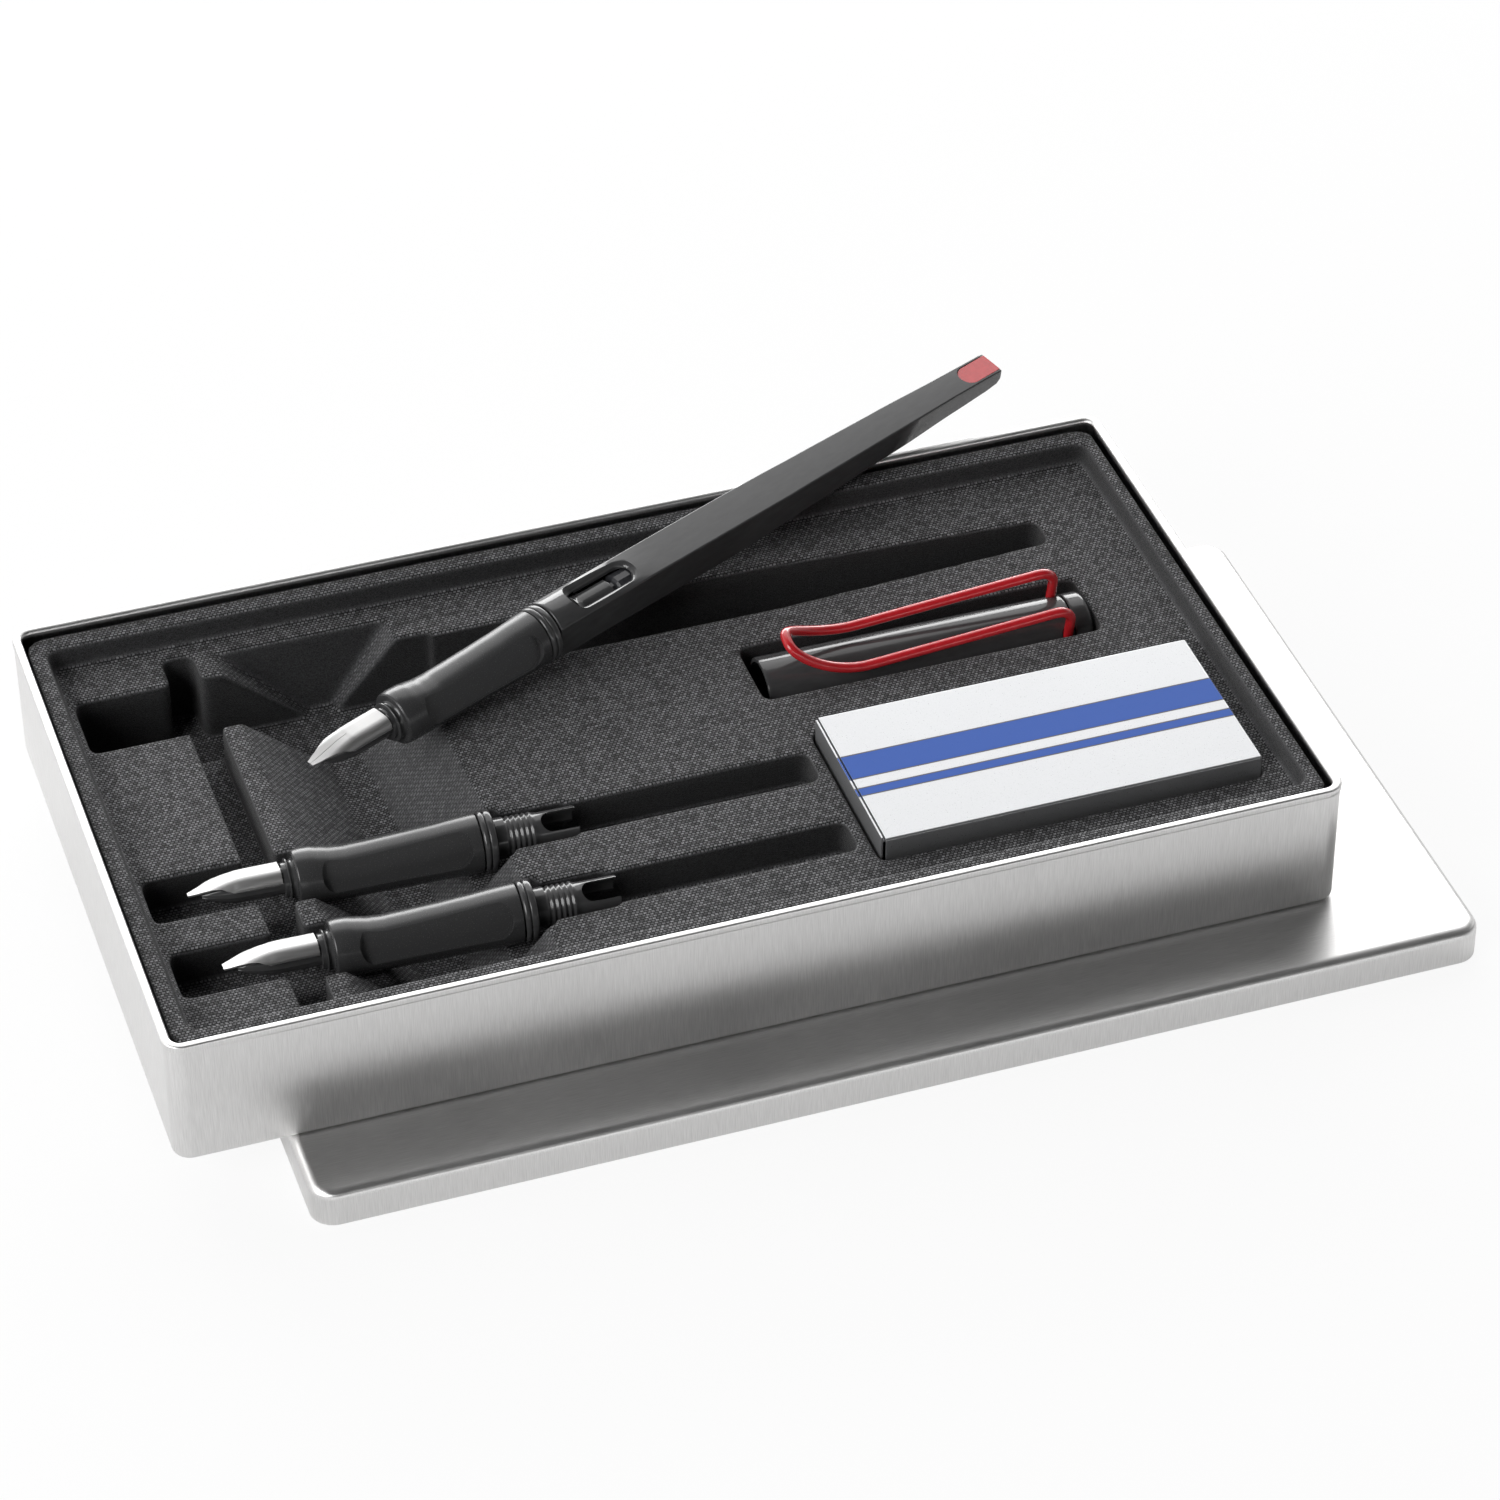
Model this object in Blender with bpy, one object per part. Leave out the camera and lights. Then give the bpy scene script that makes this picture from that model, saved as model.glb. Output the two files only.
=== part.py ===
"""A calligraphy set in a flat tin box, laid out for use: the box stands on its own upturned lid.

Places are measured in the box's own directions, from the left, front and bottom faces of the box.
One empty then moves the whole set so that the middle of its footprint stands on the origin.
Sizes are in metres and angles in radians. +X runs along the box, +Y to its back and +Z up.
"""

import math

import bmesh
import bpy
from mathutils import Euler, Vector

# Clearances that many pieces share
TOUCH_GAP = 0.0003
CUT_OVERRUN = 0.0050

# How finely round shapes are divided
ROUND_SIDES = 24
CORE_SIDES = 20
SMALL_SIDES = 16
WIRE_SIDES = 8
CORNER_STEPS = 5
MOST_ROUND_SHARE = 0.45
SMOOTH_ANGLE = math.radians(32)

# Tin box: thin sheet with a rolled hem round its open top
SHEET = 0.00055
BOX_LENGTH = 0.2100
BOX_WIDTH = 0.1194
BOX_HEIGHT = 0.0253
BOX_CORNER_RADIUS = 0.0033
BOX_FOOT_RADIUS = 0.0009
HEM_HEIGHT = 0.0015
HEM_WIDTH = 0.0017
HEM_PROUD = 0.0002
HEM_ROUNDING = 0.0003

# Lid: slips over the hem when the set is shut, and is the tray that the box stands on here
LID_CLEARANCE = 0.0003
LID_SKIRT_HEIGHT = 0.0070
LID_EDGE_RADIUS = 0.0018
LID_LEFT = 0.0194
LID_FRONT = -0.0154
LID_MARGIN = HEM_PROUD + LID_CLEARANCE + SHEET

# Moulded insert: a ledge round a lower plateau, with pockets sunk into the plateau
INSERT_CLEARANCE = 0.0006
INSERT_INSET = HEM_WIDTH - HEM_PROUD + INSERT_CLEARANCE
LEDGE_TOP = 0.0236
PLATEAU_TOP = 0.0194
LEDGE_LEFT = 0.0050
LEDGE_RIGHT = 0.0043
LEDGE_FRONT = 0.0056
LEDGE_BACK = 0.0057
RISER_RUN = 0.0010
PLATEAU_CORNER_RADIUS = 0.0025
POCKET_CORNER_RADIUS = 0.0018
DEEP_FLOOR = 0.0055
SECTION_FLOOR = 0.0124
CHANNEL_FLOOR = 0.0121
CAP_FLOOR = 0.0077
CARTON_FLOOR = 0.0144

# Cross channel and finger scoop
CHANNEL_LEFT = 0.0252
CHANNEL_RIGHT = 0.0308
CHANNEL_BACK = 0.1095
SCOOP_LEFT = 0.0345
SCOOP_RIGHT_FRONT = 0.0708
SCOOP_RIGHT_BACK = 0.0671
SCOOP_LEFT_SLOPE = 0.87
SCOOP_RIGHT_SLOPE = 1.13
SCOOP_BACK = 0.1084
SCOOP_BACK_LEAN = 0.0042

# Pen pocket, with a slot that narrows towards the barrel's tail
PEN_WELL_LEFT = 0.0074
PEN_WELL_FRONT = 0.0874
PEN_WELL_BACK = 0.1020
PEN_SLOT_START = 0.0735
PEN_SLOT_WAIST_FROM_RIGHT = 0.0740
PEN_SLOT_END_FROM_RIGHT = 0.0199
PEN_SLOT_HALF_WIDTH = 0.0062
PEN_SLOT_END_HALF_WIDTH = 0.0034

# Pockets of the two spare nib units, measured from each unit's own axis and seat
WELL_LEFT = 0.0071
WELL_FRONT_REACH = 0.0042
ZONE_SIDE_CLEARANCE = 0.0005
ZONE_BACK_CLEARANCE = 0.0016
ZONE_END_REACH = 0.0025
SHOULDER_CLEARANCE = 0.0011
SHOULDER_END_REACH = 0.0143
SLOT_CLEARANCE = 0.0007
SECTION_SLOT_END_FROM_RIGHT = 0.0830

# Nib unit, along its axis from the tip of the nib
NIB_SEEN = 0.0162
COLLAR_LENGTH = 0.0024
GRIP_LENGTH = 0.0326
RING_LENGTH = 0.0024
NECK_LENGTH = 0.0023
THREAD_LENGTH = 0.0048
FORK_LENGTH = 0.0077
THREAD_COUNT = 5

# Nib: a thin curved steel blade with a broad cut tip
NIB_THICKNESS = 0.0003
NIB_WIDTH = 0.0064
NIB_BEND_RADIUS = 0.0046
NIB_BEND_STEPS = 6
NIB_TOP = 0.00295
NIB_TIP_HEIGHT = 0.0008
PEN_NIB_TIP_WIDTH = 0.0015
SECTION_A_TIP_WIDTH = 0.0011
SECTION_B_TIP_WIDTH = 0.0019
NIB_WIDTH_SHARES = (
    (0.0, 0.0),
    (0.04, 0.05),
    (0.16, 0.30),
    (0.30, 0.66),
    (0.42, 0.92),
    (0.50, 0.98),
    (0.58, 1.0),
    (0.80, 1.0),
    (1.0, 1.0),
)

# Feed: the black ink channel under the nib
FEED_RADIUS = 0.00235
FEED_START = 0.0024
FEED_TAIL = 0.0170
FEED_STEPS = 16
FEED_TIP_SHARES = ((0.0, 0.25), (0.25, 0.60), (0.60, 0.90), (0.85, 1.0))

# Collar, grip, ring and core of a nib unit
HOUSING_RADIUS = 0.0031
HOUSING_LENGTH = 0.0008
COLLAR_RADIUS = 0.00375
COLLAR_NECK_RADIUS = 0.00345
SLEEVE_RADIUS = 0.0037
COLLAR_TAIL = 0.0054
COLLAR_LIP = 0.0003
GRIP_RADIUS = 0.0052
GRIP_FACET_DISTANCE = 0.0044
GRIP_FACET_TURN = math.radians(70)
FACET_LEAN_SHARE = 0.5
GRIP_SHARES = (
    (0.0, 0.90, 0.90, 0.0),
    (0.008, 0.955, 0.96, 0.0),
    (0.046, 0.98, 1.0, 0.0),
    (0.10, 0.97, 1.01, 0.0),
    (0.163, 0.91, 1.01, 0.55),
    (0.22, 0.84, 1.0, 0.95),
    (0.286, 0.79, 1.0, 1.0),
    (0.40, 0.81, 1.0, 1.0),
    (0.55, 0.85, 1.0, 1.0),
    (0.74, 0.91, 1.01, 1.0),
    (0.90, 0.98, 1.02, 0.90),
    (0.96, 1.0, 1.03, 0.30),
    (1.0, 1.01, 1.03, 0.0),
)
RING_RADIUS = 0.0055
RING_GROOVE = 0.0003
RING_SHARES = ((0.0, 1.0), (0.12, 0.0), (0.36, 0.0), (0.46, 1.0), (0.56, 0.0), (0.88, 0.0), (1.0, 1.0))
CORE_RADIUS = 0.0032
CORE_BORE = 0.00265
THREAD_RADIUS = 0.0036
THREAD_DEPTH = 0.00035
FORK_SLOT_WIDTH = 0.0050
FORK_SLOT_DEPTH = 0.0066
FORK_TAPER = 0.0009

# Ink cartridge: a narrow front stretch that passes the fork, then the full body
CARTRIDGE_LENGTH = 0.0620
CARTRIDGE_NECK_LENGTH = 0.0340
CARTRIDGE_NECK_RADIUS = 0.00235
CARTRIDGE_RADIUS = 0.0032
CARTRIDGE_START = 0.0360
CARTRIDGE_ROUNDING = 0.0006

# Barrel: flat sides and round top at the ring, then a wedge that thins to its tail from below.
# Each station gives shares of the length, then of the radius: half width, side top, crown, side bottom, keel
BARREL_LENGTH = 0.1118
BARREL_RADIUS = 0.0056
BARREL_BORE = 0.0039
BARREL_BORE_DEPTH = 0.0080
BARREL_CELL_RADIUS = CARTRIDGE_RADIUS + TOUCH_GAP
BARREL_CELL_END = 0.0010
BARREL_ROLL = math.radians(10)
BARREL_STATION_SHARES = (
    (0.0, 0.74, 0.655, 0.985, 0.655, 0.985),
    (0.005, 0.755, 0.655, 1.0, 0.655, 1.0),
    (0.045, 0.75, 0.66, 0.97, 0.66, 0.97),
    (0.115, 0.735, 0.67, 0.86, 0.67, 0.88),
    (0.170, 0.725, 0.675, 0.77, 0.69, 0.80),
    (0.228, 0.715, 0.69, 0.715, 0.71, 0.75),
    (0.367, 0.71, 0.685, 0.705, 0.70, 0.73),
    (0.410, 0.705, 0.68, 0.70, 0.69, 0.71),
    (0.496, 0.69, 0.66, 0.68, 0.59, 0.61),
    (0.560, 0.66, 0.65, 0.67, 0.52, 0.54),
    (0.763, 0.59, 0.63, 0.65, 0.34, 0.36),
    (0.892, 0.53, 0.59, 0.61, 0.19, 0.20),
    (0.965, 0.52, 0.56, 0.58, 0.09, 0.10),
    (0.990, 0.52, 0.55, 0.57, 0.0, 0.01),
    (1.0, 0.50, 0.53, 0.55, -0.16, -0.15),
)
BARREL_CROWN_STEPS = 8

# Ink window and coloured end plug, both in the barrel's top face
WINDOW_START = 0.0056
WINDOW_LENGTH = 0.0150
WINDOW_WIDTH = 0.0044
PLUG_LENGTH = 0.0083
PLUG_THICKNESS = 0.0008
PLUG_HALF_WIDTH = 0.0023
PLUG_ROUND_SHARE = 0.92

# Pen at rest: its ring lies on the plateau and its barrel on the box's back rim
PEN_SEAT_X = 0.09107
PEN_SEAT_Y = 0.08717
PEN_AZIMUTH = math.radians(23.7)
LEAN_ROUNDS = 20

# Spare nib units in their pockets
SECTION_A_SEAT = (0.0680, 0.0428)
SECTION_B_SEAT = (0.0692, 0.0226)
SECTION_YAW = math.radians(-1.8)
SECTION_ROLL = math.radians(-12)

# Cap, along its axis from the open mouth
CAP_RADIUS = 0.0065
CAP_END_RADIUS = 0.00635
CAP_BODY_LENGTH = 0.0588
CAP_BORE_RADIUS = 0.0057
CAP_END_WALL = 0.0030
CAP_LIP = 0.0003
CAP_MOUTH_FROM_RIGHT = 0.0833
CAP_AXIS_Y = 0.0713
CAP_ROLL = math.radians(14)
CAP_POCKET_LEFT_CLEARANCE = 0.0017
CAP_POCKET_RIGHT_CLEARANCE = 0.0006
CAP_POCKET_SIDE_CLEARANCE = 0.0014
FINIAL_LENGTH = 0.0036
FINIAL_ROUNDING = 0.0009
SPIGOT_RADIUS = 0.0017
SPIGOT_LENGTH = 0.0023
LINER_LENGTH = 0.0175
LINER_WALL = 0.0006
LINER_END = 0.0010

# Clip: one loop of round wire whose two ends drop into blind holes near the cap's closed end
WIRE_RADIUS = 0.0009
CLIP_LEG_OFFSET = 0.00467
CLIP_HOLE_FROM_END = 0.0014
CLIP_HOLE_CLEARANCE = 0.0003
CLIP_HOLE_FLOOR = 0.0029
CLIP_BEND_RADIUS = 0.0016
CLIP_BEND_HEIGHT = 0.0114
CLIP_WAIST_HEIGHT = 0.0077
CLIP_WAIST_AT = 0.0183
CLIP_TIP_HEIGHT = 0.0136
CLIP_TIP_AT = 0.0040
CLIP_LEG_SHARES = (0.25, 0.5, 0.75)
CLIP_BEND_STEPS = 5
CLIP_LOOP_STEPS = 16

# Carton of spare cartridges: a folded card sleeve with a tucked end flap
CARD = 0.0004
CARTON_LEFT_FROM_RIGHT = 0.0801
CARTON_FRONT = 0.0150
CARTON_LENGTH = 0.0708
CARTON_WIDTH = 0.0360
CARTON_THICKNESS = 0.0084
CARTON_CLEARANCE = 0.00055
CARTON_CARTRIDGES = 5
FLAP_TUCK = 0.0050

# Places that follow from the box's and the cap's lengths
PEN_SLOT_WAIST = BOX_LENGTH - PEN_SLOT_WAIST_FROM_RIGHT
PEN_SLOT_END = BOX_LENGTH - PEN_SLOT_END_FROM_RIGHT
SECTION_SLOT_END = BOX_LENGTH - SECTION_SLOT_END_FROM_RIGHT
CAP_MOUTH_X = BOX_LENGTH - CAP_MOUTH_FROM_RIGHT
CLIP_HOLE_AT = CAP_BODY_LENGTH - CLIP_HOLE_FROM_END
CARTON_LEFT = BOX_LENGTH - CARTON_LEFT_FROM_RIGHT

# Places along a nib unit that follow from its lengths
COLLAR_AT = NIB_SEEN
GRIP_AT = COLLAR_AT + COLLAR_LENGTH
GRIP_END = GRIP_AT + GRIP_LENGTH
RING_AT = GRIP_END + TOUCH_GAP
SEAT_AT = RING_AT + RING_LENGTH
NECK_AT = SEAT_AT + TOUCH_GAP
THREAD_AT = NECK_AT + NECK_LENGTH
FORK_AT = THREAD_AT + THREAD_LENGTH
SECTION_END = FORK_AT + FORK_LENGTH
COLLAR_END = GRIP_AT + COLLAR_TAIL
GRIP_STEP_AT = COLLAR_END + TOUCH_GAP
CORE_AT = GRIP_STEP_AT + TOUCH_GAP
SECTION_AXIS_HEIGHT = SECTION_FLOOR + TOUCH_GAP + RING_RADIUS
BARREL_AT = SEAT_AT + TOUCH_GAP


def clear_scene():
    """Remove whatever the scene holds before the model is made."""
    for old in list(bpy.data.objects):
        bpy.data.objects.remove(old, do_unlink=True)


def finish(name, colour, roughness, metallic=0.0):
    """Make one material of the given colour."""
    material = bpy.data.materials.new(name)
    material.use_nodes = True
    shader = material.node_tree.nodes["Principled BSDF"]
    shader.inputs["Base Color"].default_value = (*colour, 1.0)
    shader.inputs["Roughness"].default_value = roughness
    shader.inputs["Metallic"].default_value = metallic
    return material


def empty(name, parent, location=(0, 0, 0), rotation=(0, 0, 0)):
    """Make a guide that carries other objects, with its origin on their axis."""
    guide = bpy.data.objects.new(name, None)
    bpy.context.scene.collection.objects.link(guide)
    guide.parent = parent
    guide.location = location
    guide.rotation_euler = rotation
    return guide


def add(name, shape, material, parent, location=(0, 0, 0), rotation=(0, 0, 0)):
    """Turn a bmesh into a named object under its parent."""
    bmesh.ops.recalc_face_normals(shape, faces=shape.faces)
    mesh = bpy.data.meshes.new(name)
    shape.to_mesh(mesh)
    shape.free()
    mesh.shade_smooth()
    mesh.set_sharp_from_angle(angle=SMOOTH_ANGLE)
    mesh.materials.append(material)
    piece = bpy.data.objects.new(name, mesh)
    bpy.context.scene.collection.objects.link(piece)
    piece.parent = parent
    piece.location = location
    piece.rotation_euler = rotation
    return piece


def cut(target, name, shape, parent, location=(0, 0, 0), rotation=(0, 0, 0)):
    """Take a shape away from a piece, and keep the cutter as a hidden wire guide."""
    cutter = add(name, shape, CUTTER_FINISH, parent, location, rotation)
    cutter.hide_render = True
    cutter.display_type = "WIRE"
    modifier = target.modifiers.new(name, "BOOLEAN")
    modifier.operation = "DIFFERENCE"
    modifier.solver = "EXACT"
    modifier.object = cutter


def joined_rings(rings, closed=False):
    """Skin rings of equal point count in order. The ends are capped, or joined to each other."""
    shape = bmesh.new()
    rows = [[shape.verts.new(point) for point in ring] for ring in rings]
    pairs = list(zip(rows, rows[1:]))
    if closed:
        pairs.append((rows[-1], rows[0]))
    for lower, upper in pairs:
        for index, corner in enumerate(lower):
            following = (index + 1) % len(lower)
            shape.faces.new((corner, lower[following], upper[following], upper[index]))
    if not closed:
        shape.faces.new(reversed(rows[0]))
        shape.faces.new(rows[-1])
    return shape


def turned(outline, sides=ROUND_SIDES, closed=False):
    """Turn an outline of (along, radius) points about the X axis."""
    rings = []
    for along, radius in outline:
        turns = [math.tau * index / sides for index in range(sides)]
        rings.append([(along, radius * math.cos(turn), radius * math.sin(turn)) for turn in turns])
    return joined_rings(rings, closed)


def rounded_rectangle(left, right, front, back, radius, height):
    """Points round a rectangle with rounded corners, at one height."""
    corners = ((right, back, 0), (left, back, 1), (left, front, 2), (right, front, 3))
    points = []
    for x, y, quarter in corners:
        centre_x = x - math.copysign(radius, x - (left + right) / 2)
        centre_y = y - math.copysign(radius, y - (front + back) / 2)
        for step in range(CORNER_STEPS + 1):
            turn = math.tau / 4 * (quarter + step / CORNER_STEPS)
            points.append((centre_x + radius * math.cos(turn), centre_y + radius * math.sin(turn), height))
    return points


def stacked(left, right, front, back, radius, levels):
    """Skin rounded rectangles, each set in from the first by its own amount at its own height."""
    rings = []
    for inset, height in levels:
        corner = max(radius - inset, SHEET)
        ring = rounded_rectangle(left + inset, right - inset, front + inset, back - inset, corner, height)
        rings.append(ring)
    return joined_rings(rings)


def rounded_corners(corners, radius):
    """Round each corner of a flat outline, by no more than its shorter side allows."""
    points = []
    for index, corner in enumerate(corners):
        here = Vector(corner)
        before = Vector(corners[index - 1]) - here
        after = Vector(corners[(index + 1) % len(corners)]) - here
        reach = min(radius, before.length * MOST_ROUND_SHARE, after.length * MOST_ROUND_SHARE)
        start = here + before.normalized() * reach
        end = here + after.normalized() * reach
        for step in range(CORNER_STEPS + 1):
            share = step / CORNER_STEPS
            bend = start.lerp(here, share).lerp(here.lerp(end, share), share)
            points.append((bend.x, bend.y))
    return points


def upright(outline, low, high):
    """Raise a flat outline from one height to another."""
    rings = [[(x, y, height) for x, y in outline] for height in (low, high)]
    return joined_rings(rings)


def block(low, high):
    """A plain box between two corners."""
    (left, front, bottom), (right, back, top) = low, high
    outline = ((left, front), (right, front), (right, back), (left, back))
    return upright(outline, bottom, top)


def wire(points, radius):
    """Sweep a round section along a path, without twist."""
    rings = []
    side = Vector((0, 1, 0))
    for index, point in enumerate(points):
        ahead = points[min(index + 1, len(points) - 1)] - points[max(index - 1, 0)]
        along = ahead.normalized()
        side = (side - along * side.dot(along)).normalized()
        up = along.cross(side)
        turns = [math.tau * step / WIRE_SIDES for step in range(WIRE_SIDES)]
        rings.append([point + radius * (side * math.cos(turn) + up * math.sin(turn)) for turn in turns])
    return joined_rings(rings)


def make_box(parent):
    """Drawn sheet box: foot, wall, rolled hem and the inner face down to the floor."""
    inner_hem = HEM_WIDTH - HEM_PROUD
    hem_foot = BOX_HEIGHT - HEM_HEIGHT
    levels = (
        (BOX_FOOT_RADIUS, 0),
        (BOX_FOOT_RADIUS / 4, BOX_FOOT_RADIUS / 4),
        (0, BOX_FOOT_RADIUS),
        (0, hem_foot),
        (-HEM_PROUD, hem_foot + HEM_ROUNDING),
        (-HEM_PROUD, BOX_HEIGHT - HEM_ROUNDING),
        (HEM_ROUNDING, BOX_HEIGHT),
        (inner_hem - HEM_ROUNDING, BOX_HEIGHT),
        (inner_hem, BOX_HEIGHT - HEM_ROUNDING),
        (inner_hem, hem_foot),
        (SHEET, hem_foot),
        (SHEET, SHEET),
    )
    shape = stacked(0, BOX_LENGTH, 0, BOX_WIDTH, BOX_CORNER_RADIUS, levels)
    add("box_shell", shape, TIN_FINISH, parent)


def make_lid(parent):
    """Shallow drawn lid with a rounded top edge. Its flat top carries the box."""
    top = -TOUCH_GAP
    foot = top - LID_SKIRT_HEIGHT
    length = BOX_LENGTH + 2 * LID_MARGIN
    width = BOX_WIDTH + 2 * LID_MARGIN
    bend_share = 1 - math.cos(math.tau / 8)
    levels = (
        (LID_EDGE_RADIUS, top),
        (LID_EDGE_RADIUS * bend_share, top - LID_EDGE_RADIUS * bend_share),
        (0, top - LID_EDGE_RADIUS),
        (0, foot),
        (SHEET, foot),
        (SHEET, top - LID_EDGE_RADIUS),
        (LID_EDGE_RADIUS, top - SHEET),
    )
    radius = BOX_CORNER_RADIUS + LID_MARGIN
    shape = stacked(LID_LEFT, LID_LEFT + length, LID_FRONT, LID_FRONT + width, radius, levels)
    add("lid_shell", shape, TIN_FINISH, parent)


def section_pocket(seat):
    """Outline of the pocket of one spare nib unit, from its seat on the unit's ring."""
    x, y = seat
    zone_front = y - RING_RADIUS - ZONE_SIDE_CLEARANCE
    zone_back = y + RING_RADIUS + ZONE_BACK_CLEARANCE
    shoulder_front = y - THREAD_RADIUS - SHOULDER_CLEARANCE
    shoulder_back = y + THREAD_RADIUS + SHOULDER_CLEARANCE
    slot_front = y - CORE_RADIUS - SLOT_CLEARANCE
    slot_back = y + CORE_RADIUS + SLOT_CLEARANCE
    zone_end = x + ZONE_END_REACH
    shoulder_end = x + SHOULDER_END_REACH
    return (
        (WELL_LEFT, y - WELL_FRONT_REACH),
        (CHANNEL_LEFT, y - WELL_FRONT_REACH),
        (CHANNEL_LEFT, zone_front),
        (zone_end, zone_front),
        (zone_end, shoulder_front),
        (shoulder_end, shoulder_front),
        (shoulder_end, slot_front),
        (SECTION_SLOT_END, slot_front),
        (SECTION_SLOT_END, slot_back),
        (shoulder_end, slot_back),
        (shoulder_end, shoulder_back),
        (zone_end, shoulder_back),
        (zone_end, zone_back),
        (WELL_LEFT, zone_back),
    )


def pen_pocket():
    """Outline of the long pocket at the back: nib well, grip zone and the slot for the barrel."""
    middle = (PEN_WELL_FRONT + PEN_WELL_BACK) / 2
    return (
        (PEN_WELL_LEFT, PEN_WELL_FRONT),
        (PEN_SLOT_START, PEN_WELL_FRONT),
        (PEN_SLOT_START, middle - PEN_SLOT_HALF_WIDTH),
        (PEN_SLOT_WAIST, middle - PEN_SLOT_HALF_WIDTH),
        (PEN_SLOT_END, middle - PEN_SLOT_END_HALF_WIDTH),
        (PEN_SLOT_END, middle + PEN_SLOT_END_HALF_WIDTH),
        (PEN_SLOT_WAIST, middle + PEN_SLOT_HALF_WIDTH),
        (PEN_SLOT_START, middle + PEN_SLOT_HALF_WIDTH),
        (PEN_SLOT_START, PEN_WELL_BACK),
        (CHANNEL_RIGHT, PEN_WELL_BACK),
        (CHANNEL_RIGHT, CHANNEL_BACK),
        (CHANNEL_LEFT, CHANNEL_BACK),
        (CHANNEL_LEFT, PEN_WELL_BACK),
        (PEN_WELL_LEFT, PEN_WELL_BACK),
    )


def scoop_shape(front, top):
    """The V-shaped finger scoop across the insert, with a wall at the back that leans forward."""
    depth = PLATEAU_TOP - DEEP_FLOOR
    rings = []
    for y, right, lean in ((front, SCOOP_RIGHT_FRONT, 0), (SCOOP_BACK, SCOOP_RIGHT_BACK, SCOOP_BACK_LEAN)):
        rise = (top - PLATEAU_TOP) / depth
        section = (
            (SCOOP_LEFT, rise),
            (SCOOP_LEFT, 0),
            (SCOOP_LEFT + depth / SCOOP_LEFT_SLOPE, -1),
            (right - depth / SCOOP_RIGHT_SLOPE, -1),
            (right, 0),
            (right, rise),
        )
        rings.append([(x, y + lean * share, PLATEAU_TOP + depth * share) for x, share in section])
    return joined_rings(rings)


def make_insert(parent):
    """Thick flocked insert: one block, then the plateau, the channel, the scoop and the pockets."""
    far_x = BOX_LENGTH - INSERT_INSET
    far_y = BOX_WIDTH - INSERT_INSET
    levels = ((0, SHEET + TOUCH_GAP), (0, LEDGE_TOP))
    radius = BOX_CORNER_RADIUS
    shape = stacked(INSERT_INSET, far_x, INSERT_INSET, far_y, radius, levels)
    insert = add("insert_tray", shape, FLOCK_FINISH, parent)

    above = LEDGE_TOP + CUT_OVERRUN
    lean = RISER_RUN / (LEDGE_TOP - PLATEAU_TOP)
    levels = ((RISER_RUN, PLATEAU_TOP), (-lean * CUT_OVERRUN, above))
    right = BOX_LENGTH - LEDGE_RIGHT
    back = BOX_WIDTH - LEDGE_BACK
    shape = stacked(LEDGE_LEFT, right, LEDGE_FRONT, back, PLATEAU_CORNER_RADIUS, levels)
    cut(insert, "plateau_cutter", shape, parent)

    front = LEDGE_FRONT + RISER_RUN
    cut(insert, "scoop_cutter", scoop_shape(front, above), parent)

    channel = (
        (CHANNEL_LEFT, front),
        (CHANNEL_RIGHT, front),
        (CHANNEL_RIGHT, PEN_WELL_FRONT + POCKET_CORNER_RADIUS),
        (CHANNEL_LEFT, PEN_WELL_FRONT + POCKET_CORNER_RADIUS),
    )
    cap_half = CAP_RADIUS + CAP_POCKET_SIDE_CLEARANCE
    cap_end = CAP_MOUTH_X + CAP_BODY_LENGTH + TOUCH_GAP + FINIAL_LENGTH + CAP_POCKET_RIGHT_CLEARANCE
    cap_left = CAP_MOUTH_X - CAP_POCKET_LEFT_CLEARANCE
    cap = (
        (cap_left, CAP_AXIS_Y - cap_half),
        (cap_end, CAP_AXIS_Y - cap_half),
        (cap_end, CAP_AXIS_Y + cap_half),
        (cap_left, CAP_AXIS_Y + cap_half),
    )
    carton_right = CARTON_LEFT + CARTON_LENGTH + CARTON_CLEARANCE
    carton_back = CARTON_FRONT + CARTON_WIDTH + CARTON_CLEARANCE
    carton = (
        (CARTON_LEFT - CARTON_CLEARANCE, CARTON_FRONT - CARTON_CLEARANCE),
        (carton_right, CARTON_FRONT - CARTON_CLEARANCE),
        (carton_right, carton_back),
        (CARTON_LEFT - CARTON_CLEARANCE, carton_back),
    )
    pockets = (
        ("channel_cutter", channel, CHANNEL_FLOOR),
        ("pen_pocket_cutter", pen_pocket(), DEEP_FLOOR),
        ("section_a_pocket_cutter", section_pocket(SECTION_A_SEAT), SECTION_FLOOR),
        ("section_b_pocket_cutter", section_pocket(SECTION_B_SEAT), SECTION_FLOOR),
        ("cap_pocket_cutter", cap, CAP_FLOOR),
        ("carton_pocket_cutter", carton, CARTON_FLOOR),
    )
    for name, outline, floor in pockets:
        rounded = rounded_corners(outline, POCKET_CORNER_RADIUS)
        cut(insert, name, upright(rounded, floor, above), parent)


def nib_line(along):
    """Height of the nib's upper face on its centre line: level at the root, falling to the tip."""
    share = min(along / NIB_SEEN, 1)
    return NIB_TIP_HEIGHT + (NIB_TOP - NIB_TIP_HEIGHT) * math.sin(share * math.tau / 4)


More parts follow.
